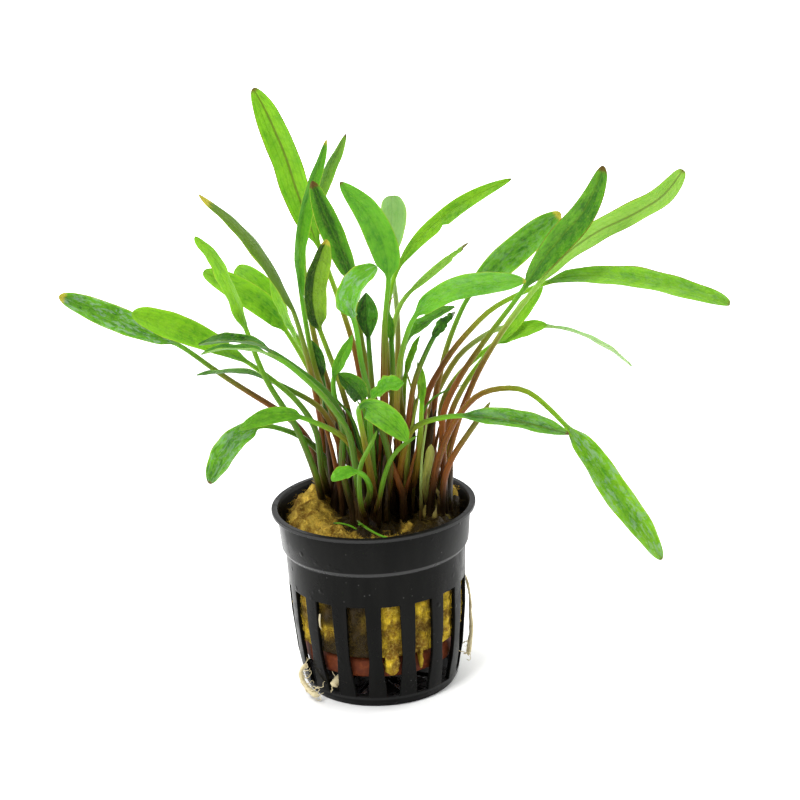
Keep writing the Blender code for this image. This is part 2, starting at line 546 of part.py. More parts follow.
def spread_apart(strands):
    """Push strands that touch apart, mostly front to back, leaving their bases where they are."""
    for _ in range(SPREAD_ROUNDS):
        points = [(owner, *sample) for owner, strand in enumerate(strands)
                  for sample in strand.samples()]
        tree = kdtree.KDTree(len(points))
        for index, point in enumerate(points):
            tree.insert(point[1], index)
        tree.balance()
        moves = [[Vector() for _ in strand.centres] for strand in strands]
        reach = 2 * BASE_RADIUS + SPREAD_MARGIN
        touched = False
        for owner, place, thick, index, share in points:
            for other_place, other_index, distance in tree.find_range(place, reach):
                other = points[other_index]
                short = thick + other[2] + SPREAD_MARGIN - distance
                if other[0] == owner or short <= 0 or distance == 0:
                    continue
                touched = True
                push = place - other_place
                depth_sign = 1 if owner > other[0] else -1
                push.y = 3 * push.y + 0.3 * (math.copysign(1, push.y) if push.y else depth_sign)
                push *= short * 0.5 / push.length
                for ring, part in ((index, 1 - share), (index + 1, share)):
                    if ring > 0 and push.length * part > moves[owner][ring].length:
                        moves[owner][ring] = push * part
        if not touched:
            return
        for strand, shifts in zip(strands, moves):
            for ring in range(1, len(shifts)):
                near = shifts[ring - 1] + shifts[min(ring + 1, len(shifts) - 1)]
                strand.centres[ring] = strand.centres[ring] + 0.6 * shifts[ring] + 0.2 * near


def build_plant():
    seats = {crown: free_seats(crown) for crown in CROWNS}
    strands = []
    for name, crown, colour, base_radius, end_radius, points in STEMS:
        points = [Vector(point) for point in points]
        base = take_seat(seats, crown, points[0], base_radius)
        strands.append(tube_strand(name, colour, base_radius, end_radius, [base] + points))
    strands += [leaf_strand(seats, *leaf) for leaf in LEAVES]
    spread_apart(strands)
    for strand in strands:
        strand.build()


def build_roots():
    for name, base_radius, end_radius, points in ROOTS:
        points = [Vector(point) for point in points]
        tube_strand(name, "root", base_radius, end_radius, points).build()


def main():
    clear_scene()
    build_pot()
    build_disc()
    build_wool()
    build_crowns()
    build_plant()
    build_roots()


main()
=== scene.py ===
"""The looks of a potted cryptocoryne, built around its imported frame.

The frame's leaves, stalks, crowns, rockwool, clay disc, roots and pot are faceted solids. Each is
replaced here by a finer piece that follows it. Lengths are in metres, and MM turns millimetres
into them. The front of the pot faces -Y.
"""

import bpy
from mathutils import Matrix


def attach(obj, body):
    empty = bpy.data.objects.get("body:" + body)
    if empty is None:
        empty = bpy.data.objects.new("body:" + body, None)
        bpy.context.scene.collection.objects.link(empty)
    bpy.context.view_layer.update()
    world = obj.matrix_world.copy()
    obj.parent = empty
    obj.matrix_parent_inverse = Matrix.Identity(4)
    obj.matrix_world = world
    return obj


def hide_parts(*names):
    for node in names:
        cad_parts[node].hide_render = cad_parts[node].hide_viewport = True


bl_info = {
    "name": "Potted cryptocoryne",
    "version": (1, 0, 0),
    "blender": (4, 5, 0),
    "location": "View3D > Sidebar > Plant",
    "description": "Builds a net pot, its rockwool and its leaves around the packed frame",
    "category": "Object",
}

import math
import random

import bmesh
import bpy
from bpy.props import FloatProperty, FloatVectorProperty, IntProperty, PointerProperty
from mathutils import Matrix, Vector, noise

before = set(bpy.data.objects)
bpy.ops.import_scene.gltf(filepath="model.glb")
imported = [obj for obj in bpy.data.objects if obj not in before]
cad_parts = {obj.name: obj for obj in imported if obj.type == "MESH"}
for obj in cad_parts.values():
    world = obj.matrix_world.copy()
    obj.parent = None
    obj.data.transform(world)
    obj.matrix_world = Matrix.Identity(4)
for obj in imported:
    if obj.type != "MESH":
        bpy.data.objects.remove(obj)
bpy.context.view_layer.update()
MM = 0.001

# Pot, in millimetres
POT_COLUMNS = 8                 # columns of faces for each slot and its rib
SLOTS = 16
SLOT_TURN = 7.3
SLOT_OUTLINE = ((2.8, 1.65), (5.5, 1.8), (14.0, 2.65), (29.0, 2.45))
POT_WALL = 1.2
POT_OUTSIDE = ((1.6, 20.3), (9.5, 21.8), (20.0, 22.8), (38.2, 23.5))
DRAINS = 8
DRAIN_FROM, DRAIN_TO = 7.0, 15.0

# Crowns, as name: (x, y, radius) in millimetres
CROWNS = {"left": (-11.5, 5.5, 4.6), "middle": (-1.2, -4.0, 5.5), "back": (-0.8, 12.6, 4.6),
          "centre": (7.8, 4.2, 4.9), "right": (16.2, -2.2, 4.7)}
SLOT_WETNESS = (0.05, 0.35, 0.25, 0.3, 0.6, 0.4, 0.2, 0.7, 0.3, 0.5, 0.6, 0.2, 0.45, 0.38, 0.62, 0.85)
# Lumps on the plug's top, as x, y, rise, spread
WOOL_LUMPS = ((-14, 3, 8.0, 3.5), (-18, -4, 4.4, 3.4), (-11, -8, 2.4, 3.2), (-8, -16, 3.0, 4.2), (1, -19, 1.8, 3.6), (7, -18, 2.6, 3.6),
              (15, -11, 4.4, 4.2), (19.5, 4, 8.0, 4.6), (-13, 14, 3.0, 6), (6, 18, 3.0, 6), (-20, 6, 2.5, 4),
              (0, -10, -1.5, 4.5))
DRY_LUMPS = ((-16, 0, 7.5), (-15, -9, 6.0), (20.5, 5, 5.5))    # x, y and reach of the dry golden ones

# Greens, as bright, dark, mottling, cross veins, underside
GREENS = {
    "bright": ((0.20, 0.46, 0.012), (0.06, 0.24, 0.006), 0.35, 0.5, (0.26, 0.48, 0.05)),
    "fresh": ((0.13, 0.40, 0.016), (0.045, 0.22, 0.008), 0.35, 0.4, (0.20, 0.42, 0.05)),
    "bronze": ((0.15, 0.27, 0.022), (0.06, 0.15, 0.010), 0.2, 0.4, (0.11, 0.20, 0.018)),
    "mid": ((0.12, 0.35, 0.012), (0.03, 0.14, 0.006), 0.45, 0.5, (0.18, 0.36, 0.05)),
    "dark": ((0.05, 0.20, 0.010), (0.008, 0.04, 0.004), 0.7, 0.4, (0.09, 0.24, 0.03)),
    "olive": ((0.20, 0.38, 0.016), (0.014, 0.055, 0.002), 0.15, 0.3, (0.14, 0.26, 0.03)),
    "deep": ((0.09, 0.30, 0.010), (0.018, 0.085, 0.003), 0.25, 0.4, (0.14, 0.32, 0.03)),
    "light": ((0.26, 0.49, 0.062), (0.16, 0.38, 0.030), 0.15, 0.8, (0.34, 0.56, 0.12)),
    "grey": ((0.20, 0.39, 0.042), (0.07, 0.21, 0.018), 0.15, 0.4, (0.26, 0.44, 0.09)),
    "pale": ((0.27, 0.47, 0.15), (0.18, 0.38, 0.09), 0.4, 0.5, (0.32, 0.50, 0.19)),
}
FOOT_BROWN = (0.23, 0.068, 0.012)
STALK_OLIVE = (0.21, 0.17, 0.014)
STALK_GREEN = (0.075, 0.19, 0.012)
GREEN_STALK_BROWN = 0.15        # a leaf whose brown reaches less far than this has a green stalk
FOOT_DARK = (0.035, 0.014, 0.005)
TIP_BROWN = (0.13, 0.05, 0.012)
TIP_YELLOW = (0.50, 0.42, 0.04)
TIP_GREY = (0.20, 0.15, 0.07)
TIP_WHITE = (0.42, 0.44, 0.36)
EDGE_BROWN = (0.16, 0.07, 0.012)
EDGE_YELLOW = (0.40, 0.50, 0.06)


def leaf(green, looks, fold=0.15, widest=0.5, blunt=0.5, wave=0.15, twist=0.0, wet=0.25, tip=TIP_BROWN, reach=0.0,
         rib=0.0, brown=0.3, slim=1.0, halves=0.0, valley=0.0, sheen=0.0, torn=0.0, notch=0.0, edge=None):
    """A leaf's green; the way its upper face looks; how far its edges stand up, as a share of the
    half width; where it is widest, from 0 at its neck to 1 at its tip; how blunt it is (less is
    rounder); the wave of its edges in millimetres; its twist in degrees; how wet it is; its tip's
    colour and how far that reaches; the brown of its rib; how far up the stalk is brown; how slim
    the blade is; how much painted shade darkens one half of the fold (below 0 the other); how much
    painted shade darkens the middle, in the fold's valley, where it also gathers the mottling; its
    painted blue-grey reflection on wet patches (its sheen); the share that is torn; where it has a
    notch; and the colour of its margin."""
    return {key: value for key, value in locals().items()}


LEAVES = {
    "leaf_tall_left": leaf("bright", (-1, -3, 1), blunt=0.48, wave=0.25, twist=4, rib=0.6, brown=0.75,
                           tip=TIP_BROWN, reach=0.02, edge=EDGE_BROWN, halves=0.1),
    "leaf_arching_grey": leaf("bronze", (-1, 0, 1), fold=0.3, blunt=0.6, wet=0.4, tip=TIP_YELLOW, reach=0.09,
                              brown=0.7, halves=0.35, edge=EDGE_YELLOW, slim=1.1),
    "leaf_bright_left": leaf("bright", (-2, -2, 1), fold=0.25, wave=0.2, twist=6, brown=0.1, slim=0.85),
    "leaf_broad_back_left": leaf("bright", (-1, -3, 2), blunt=0.45, valley=0.3),
    "leaf_round_back_left": leaf("bright", (-1, -3, 2), widest=0.6, blunt=0.4),
    "leaf_narrow_back_left": leaf("bright", (-2, -1, 1), fold=0.2),
    "leaf_far_left": leaf("mid", (0, -2, 2), widest=0.55, wave=0.2, wet=1.0, sheen=0.5, tip=TIP_YELLOW, reach=0.05,
                          brown=0.9, valley=0.4, edge=EDGE_YELLOW),
    "leaf_low_left": leaf("bright", (0, -2, 2), widest=0.68, fold=0.2, wet=0.35, brown=0.1),
    "leaf_small_low_left": leaf("fresh", (0, -1, 2), fold=0.2, brown=0.1, slim=0.78),
    "leaf_oval_front": leaf("mid", (1, -3, 1), wet=0.4, blunt=0.6, brown=0.2, valley=0.1, slim=0.85),
    "leaf_folded_left_upper": leaf("dark", (0, 0, 1), slim=1.3, fold=0.4, blunt=0.6, wet=0.6, halves=0.5, brown=-0.1),
    "leaf_folded_left_lower": leaf("mid", (0, 0, 1), fold=0.4, blunt=0.6, wet=0.6, halves=-0.5, brown=-0.2),
    "leaf_thin_left": leaf("dark", (0, 1, 2), fold=0.3, blunt=0.7, brown=0.5),
    "leaf_drooping_left": leaf("mid", (-1, -2, 1), fold=0.2, blunt=0.55, wave=0.25, wet=0.8, valley=0.4, sheen=0.3,
                               tip=TIP_BROWN, reach=0.03, brown=0.05),
    "leaf_twisted_left": leaf("mid", (0, -1, 1), fold=0.3, blunt=0.6, wave=0.2, twist=12, wet=0.4, brown=0.4),
    "leaf_narrow_back": leaf("fresh", (2, -2, 1), fold=0.3, blunt=0.6, halves=0.4, tip=TIP_YELLOW, reach=0.03,
                             edge=EDGE_YELLOW),
    "leaf_pointed_back": leaf("grey", (2, -2, 1), fold=0.4, blunt=0.62, halves=0.3, slim=0.85, tip=TIP_BROWN,
                              reach=0.03),
    "leaf_small_upright": leaf("bright", (0, -3, 1), fold=0.2, blunt=0.7, slim=0.6),
    "leaf_low_right": leaf("mid", (0, -1, 2), fold=0.25, blunt=0.55, wave=0.2, wet=0.5, sheen=0.2, tip=TIP_BROWN,
                           reach=0.03, rib=0.4, valley=0.4, brown=0.4),
    "leaf_dark_mottled": leaf("deep", (-1, -3, 1), blunt=0.55, wave=0.2, wet=0.6, slim=0.92, valley=0.9,
                              tip=TIP_BROWN, reach=0.06, brown=0.5, edge=EDGE_YELLOW),
    "leaf_folded_tall": leaf("olive", (1, -2, 0), fold=0.5, blunt=0.5, wet=0.7, tip=TIP_YELLOW, reach=0.05,
                             halves=0.9, brown=0.4, slim=0.9),
    "leaf_centre_front": leaf("fresh", (-1, -3, 1), widest=0.4, blunt=0.6, tip=TIP_BROWN, reach=0.02,
                              halves=0.3, valley=0.2, brown=0.65),
    "leaf_pale_round": leaf("pale", (1, -3, 0), widest=0.66, fold=0.1, blunt=0.36),
    "leaf_arching_right": leaf("bright", (1, -1, 1), fold=0.2, blunt=0.65, tip=TIP_BROWN, reach=0.02,
                               edge=EDGE_YELLOW, notch=0.43),
    "leaf_torn_narrow": leaf("light", (1, -1, 1), fold=0.2, blunt=0.7, wave=0.2, tip=TIP_GREY, reach=0.12, torn=0.3, slim=0.75),
    "leaf_mid_right": leaf("fresh", (0, -1, 1), blunt=0.55, wet=0.6, tip=TIP_YELLOW, reach=0.02, sheen=0.1, brown=0.4),
    "leaf_back_right": leaf("mid", (1, -3, 1), blunt=0.5, valley=0.4, sheen=0.15, tip=TIP_YELLOW, reach=0.05,
                            edge=EDGE_YELLOW, brown=0.6),
    "leaf_behind_right": leaf("bright", (1, -2, 0), brown=0.6),
    "leaf_thin_arching_right": leaf("pale", (0, 0, 1), fold=0.2, widest=0.72, blunt=0.4, brown=0.2),
    "leaf_small_right": leaf("bright", (0, -1, 1), fold=0.2, blunt=0.6),
    "leaf_tall_right": leaf("mid", (1, -3, 1), widest=0.55, fold=0.35, blunt=0.5, wet=0.5, valley=0.3, rib=0.2, halves=-0.45,
                            tip=TIP_BROWN, reach=0.04, brown=0.95, edge=EDGE_BROWN),
    "leaf_wavy_right": leaf("light", (1, -2, 2), widest=0.6, fold=0.2, blunt=0.36, wave=0.5, twist=10,
                            tip=TIP_BROWN, reach=0.01, rib=0.5, brown=0.95, edge=EDGE_BROWN),
    "leaf_level_right": leaf("bright", (0, -1, 2), fold=0.2, widest=0.55, blunt=0.38, wave=0.2, wet=0.5, sheen=0.1, tip=TIP_BROWN, reach=0.01,
                             brown=0.85, edge=EDGE_BROWN),
    "leaf_drooping_right": leaf("bright", (1, -3, 1), wave=0.3, wet=0.9, valley=0.4, sheen=0.4, tip=TIP_BROWN, reach=0.01,
                                brown=0.9),
    "leaf_curled_front": leaf("fresh", (-1, -2, 1), sheen=0.45, fold=0.45, blunt=0.5, wave=0.35, wet=0.8, brown=0.1,
                              edge=EDGE_YELLOW, valley=0.2),
    "leaf_dark_centre": leaf("dark", (0, -3, 1), fold=0.2, blunt=1.0, widest=0.56, wave=0.2, wet=0.5, halves=0.6, brown=0.4),
    "leaf_narrow_centre": leaf("deep", (-1, -2, 0), fold=0.2, blunt=0.9, wet=0.5, brown=0.3),
    "leaf_torn_dark": leaf("dark", (-1, -2, 1), fold=0.3, blunt=0.75, widest=0.45, slim=0.62, wave=0.35, wet=0.7, tip=TIP_WHITE, reach=0.12,
                           torn=0.4, brown=0.95),
    "leaf_curled_mid": leaf("deep", (-1, -1, 2), slim=0.85, fold=0.3, blunt=0.6, wave=0.25, wet=0.7, valley=0.3, brown=0.3),
    "leaf_slim_mid": leaf("bright", (-1, -2, 1), fold=0.2, blunt=0.7, slim=0.55),
    "leaf_slim_left": leaf("fresh", (1, -2, 1), fold=0.2, blunt=0.8, brown=-0.1),
    "leaf_dark_left": leaf("dark", (-1, -3, 1), fold=0.2, blunt=0.85, wet=0.4, brown=-0.1),
    "leaf_folded_front": leaf("fresh", (0, -2, 2), widest=0.6, fold=0.55, blunt=0.8, wave=0.5, twist=25, wet=0.6, brown=0.1, valley=0.25),
    "leaf_dark_front": leaf("deep", (0, -2, 2), blunt=0.75, fold=0.5, wave=0.35, twist=15, wet=0.8, halves=0.9, valley=0.3, brown=0.1),
}

# Stalks with no blade, as name: colour, brown reach
STALKS = {"stem_bare_arching": ((0.10, 0.24, 0.012), 0.1), "stem_bare_front": ((0.12, 0.28, 0.015), 0.1),
          "young_shoot": ((0.46, 0.48, 0.11), 0.0), "petiole_cut": ((0.17, 0.17, 0.03), 0.6)}

# Slender stalks and dark old ones between the leaves, as colour, radius and points in millimetres
INNER_COLOURS = {"green": (0.10, 0.26, 0.012), "shade": (0.030, 0.085, 0.006), "yellow": (0.24, 0.32, 0.03),
                 "pale": (0.34, 0.46, 0.12), "brown": (0.25, 0.10, 0.02), "dark": (0.045, 0.022, 0.006)}
INNER_STALKS = (
    ("green", 0.50, ((-1, -4, 45), (-1, -4, 52.8), (-1.6, -4, 61.6), (-2.8, -4.5, 68.6), (-4.3, -5, 74),
                     (-7.6, -5, 78.7), (-12.3, -5, 84.4))),
    ("green", 0.80, ((0.7, -6, 45), (0.7, -6, 51), (0.5, -6, 57.3), (0.6, -6.5, 64.8), (0.4, -7, 70.9),
                     (-0.9, -7.5, 76), (-3, -8, 80))),
    ("shade", 0.75, ((-0.5, -4, 45), (-0.5, -4, 51.6), (-1.4, -4, 59.4), (-2.9, -4, 66.5), (-4.5, -4, 73.7),
                     (-6.3, -4, 79.1))),
    ("brown", 1.00, ((7.5, -5, 45), (7.7, -5, 51.8), (6.6, -6, 56.6), (5.3, -6.5, 61.3), (3.9, -7, 66.1),
                     (2.9, -7, 71.6))),
    ("brown", 0.60, ((8, -4, 45), (8.2, -4, 51.1), (9.5, -5, 56.9), (11, -5, 62.3), (12.5, -5, 67.1))),
    ("pale", 0.42, ((11.8, -7, 45), (12.2, -7, 50.1), (12.4, -8, 57.3), (13, -8.5, 64), (14, -9, 70.1),
                    (15, -9, 75.9))),
    ("yellow", 0.52, ((8.1, -1, 45), (8.3, -1, 51.1), (9.5, -1, 59.8), (10.3, -1, 66.9), (11.3, -1, 72.3),
                      (11.8, -1, 77.1), (10.7, 0, 81.7), (9.7, 0, 86))),
    ("yellow", 0.50, ((7.8, -4, 45), (8, -4, 51.7), (9.2, -4, 62.6), (10.2, -4, 68.2), (11.8, -4, 74.1),
                      (13, -4, 79.7), (13.3, -4, 85))),
    ("green", 0.45, ((10, -2, 45), (10.3, -2, 50.2), (11.5, -2, 60.6), (12.6, -2, 68.5), (13.9, -2, 73.3),
                     (15.8, -2, 76.4), (19.3, 0, 78), (22.7, 1, 78.8), (25.3, 2, 79.1))),
    ("green", 0.42, ((15.3, -1, 45), (15.8, -1, 51.2), (17.3, 0, 60.7), (18.3, 1, 66.3), (19.3, 2, 70.2),
                     (20.8, 3, 73.9), (22.5, 3, 77.3))),
    ("dark", 0.95, ((-7.1, 4, 45), (-7.3, 4, 49), (-7.9, 3, 57.7), (-8.3, 3, 64.9), (-8.5, 3, 70.9))),
    ("dark", 1.05, ((2.5, 1, 45), (2.6, 1, 49.5), (1.9, 1, 57.3), (1.8, 1, 65), (1.8, 1, 71))),
    ("dark", 1.10, ((7.3, 2, 45), (7.5, 2, 48.9), (7.6, 2, 56.6), (7.6, 2, 63.2), (7.7, 2, 69.3))),
    ("dark", 1.05, ((8.5, 1, 45), (8.8, 1, 49.2), (9.6, 1, 55.8), (10.7, 1, 62.3), (11.7, 1, 67.8))),
    ("dark", 0.95, ((11.5, 1, 45), (11.9, 1, 50.1), (13.9, 1, 60), (15.3, 1, 67.6), (16.3, 1, 73.5))),
    ("dark", 0.90, ((-0.8, 0, 45), (-0.8, 0, 49.6), (-1.6, 0, 54.6), (-2.8, 0, 61.3), (-4.3, 0, 68.5),
                    (-5.5, 0, 74.5))),
    ("brown", 0.70, ((13.6, 2, 45), (14, 2, 49.1), (15.4, 2, 56.7), (16.9, 2, 63.3), (18.5, 2, 69.7))),
    ("dark", 1.0, ((-9.5, 3, 45), (-10, 3, 52), (-10.6, 2, 60), (-11, 1, 68), (-11.5, 0, 74))),
    ("dark", 1.1, ((-5, 2, 45), (-5, 2, 52), (-5.4, 2, 60), (-5.8, 1, 68), (-6.4, 0, 75))),
    ("shade", 0.9, ((-3, -2, 45), (-3.2, -2, 53), (-4, -2, 61), (-5.2, -3, 68), (-7, -4, 75))),
    ("dark", 1.1, ((4.5, 2, 45), (4.6, 2, 53), (4.6, 2, 61), (4.5, 2, 69), (4.2, 1, 76))),
    ("brown", 0.9, ((5, -2, 45), (5, -2, 53), (4.6, -2, 61), (4.4, -2, 69), (4.5, -1, 77))),
    ("shade", 0.8, ((3, 0, 45), (3, 0, 53), (2.4, 0, 62), (1.6, 0, 70), (1.2, 0, 79))),
    ("dark", 1.0, ((9.5, 3, 45), (9.7, 3, 53), (10.2, 3, 61), (11.2, 3, 69), (12.5, 3, 76))),
    ("dark", 0.9, ((13.5, 0, 45), (13.8, 0, 53), (14.8, 0, 61), (16, 0, 68), (17.5, 0, 74))),
    ("brown", 0.8, ((-8, -1, 45), (-8.2, -1, 52), (-9.2, -1, 60), (-10.6, -1, 68), (-12.5, -1, 75))),
    ("brown", 0.42, ((1, -2, 45), (1.6, -2, 55), (2.6, -2, 66), (3.4, -2, 78), (4.2, -2.5, 91), (4.9, -3, 99),
                     (6.4, -3, 103), (8.6, -3, 106))),
    ("shade", 0.60, ((-0.2, 2, 45), (-0.2, 2, 50.4), (-0.8, 2, 59.9), (-0.9, 2, 68.1), (-1.1, 2, 75.2))),
)

# Roots outside the pot, as name: radius at the start and the end, points in millimetres
ROOTS = {
    "root_left": (0.5, 0.8, ((-19.3, -11.0, 9.3), (-20.6, -11.2, 8.2), (-21.2, -11.0, 6.6), (-20.8, -11.8, 5),
                             (-20, -12.9, 3.6), (-18.4, -14.7, 2.6), (-16.6, -16.0, 2.2))),
    "root_slot": (1.0, 1.1, ((-10.9, -13.4, 6.2), (-12.0, -14.9, 5.6), (-12.9, -16.0, 4.8))),
    "root_right": (0.28, 0.6, ((22.6, 2.9, 27.3), (23.6, 2.4, 24), (24.1, 1.9, 20), (24.0, 0.8, 16), (24.1, -0.2, 12),
                              (23.4, -1.6, 8.6), (22.8, -2.8, 5))),
}


# ---------------------------------------------------------------- settings


class PlantSettings(bpy.types.PropertyGroup):
    blade_thickness: FloatProperty(name="Blade thickness", description="Thickness of a leaf blade",
                                   default=0.00034, unit="LENGTH")
    fibre_count: IntProperty(name="Rockwool fibres", description="Loose fibres on the plug", default=5200)
    fibre_radius: FloatProperty(name="Fibre radius", description="Radius of a rockwool fibre",
                                default=0.00005, unit="LENGTH")
    pot_colour: FloatVectorProperty(name="Pot", description="Colour of the net pot", subtype="COLOR",
                                    default=(0.0021, 0.0022, 0.0018))
    wool_colour: FloatVectorProperty(name="Rockwool", description="Colour of dry rockwool",
                                     subtype="COLOR", default=(0.80, 0.56, 0.030))
    clay_colour: FloatVectorProperty(name="Clay", description="Colour of the clay disc",
                                     subtype="COLOR", default=(0.10, 0.020, 0.005))
    root_colour: FloatVectorProperty(name="Roots", description="Colour of the roots",
                                     subtype="COLOR", default=(0.66, 0.58, 0.36))


def settings():
    return bpy.context.scene.potted_plant


# ---------------------------------------------------------------- shader wiring


class Wiring:
    """Adds nodes to a tree and joins them."""

    def __init__(self, tree):
        self.tree = tree

    def node(self, kind, **values):
        made = self.tree.nodes.new(kind)
        for name, value in values.items():
            setattr(made, name, value)
        return made

    def feed(self, socket, value):
        if isinstance(value, bpy.types.NodeSocket):
            self.tree.links.new(value, socket)
        elif value is not None:
            socket.default_value = value

    def math(self, operation, first, second=None, clamp=False):
        made = self.node("ShaderNodeMath", operation=operation, use_clamp=clamp)
        self.feed(made.inputs[0], first)
        self.feed(made.inputs[1], second)
        return made.outputs[0]

    def step(self, value, low, high, from_zero=0.0, to_one=1.0):
        """Smooth step of a value between two limits."""
        made = self.node("ShaderNodeMapRange", interpolation_type="SMOOTHSTEP")
        for index, item in enumerate((value, low, high, from_zero, to_one)):
            self.feed(made.inputs[index], item)
        return made.outputs[0]

    def mix(self, share, first, second, blend="MIX"):
        made = self.node("ShaderNodeMix", data_type="RGBA", blend_type=blend)
        self.feed(made.inputs[0], share)
        for index, colour in ((6, first), (7, second)):
            value = colour if isinstance(colour, bpy.types.NodeSocket) else (*colour, 1.0)[:4]
            self.feed(made.inputs[index], value)
        return made.outputs[2]

    def noise(self, place, scale, detail=3.0, roughness=0.55, distortion=0.0):
        made = self.node("ShaderNodeTexNoise")
        self.feed(made.inputs["Vector"], place)
        self.feed(made.inputs["Scale"], scale)
        self.feed(made.inputs["Detail"], detail)
        self.feed(made.inputs["Roughness"], roughness)
        self.feed(made.inputs["Distortion"], distortion)
        return made.outputs["Fac"]

    def cells(self, place, scale, feature="F1"):
        made = self.node("ShaderNodeTexVoronoi", feature=feature)
        self.feed(made.inputs["Vector"], place)
        self.feed(made.inputs["Scale"], scale)
        return made.outputs["Distance"]

    def join(self, x, y, z):
        made = self.node("ShaderNodeCombineXYZ")
        for index, value in enumerate((x, y, z)):
            self.feed(made.inputs[index], value)
        return made.outputs[0]

    def split(self, vector):
        made = self.node("ShaderNodeSeparateXYZ")
        self.feed(made.inputs[0], vector)
        return made.outputs

    def place(self):
        return self.node("ShaderNodeTexCoord").outputs["Object"]

    def stretched(self, x, y, z):
        made = self.node("ShaderNodeMapping")
        self.feed(made.inputs["Vector"], self.place())
        self.feed(made.inputs["Scale"], (x, y, z))
        return made.outputs[0]


def new_group(name, inputs, outputs):
    """A shader node group with named sockets, and its wiring."""
    group = bpy.data.node_groups.new(name, "ShaderNodeTree")
    for label, value in inputs:
        kind = "NodeSocketColor" if isinstance(value, tuple) else "NodeSocketFloat"
        socket = group.interface.new_socket(label, in_out="INPUT", socket_type=kind)
        socket.default_value = (*value, 1.0) if isinstance(value, tuple) else value
    for label in outputs:
        kind = "NodeSocketColor" if label == "Colour" else "NodeSocketFloat"
        group.interface.new_socket(label, in_out="OUTPUT", socket_type=kind)
    wires = Wiring(group)
    given = wires.node("NodeGroupInput").outputs
    result = wires.node("NodeGroupOutput").inputs
    return group, wires, given, result


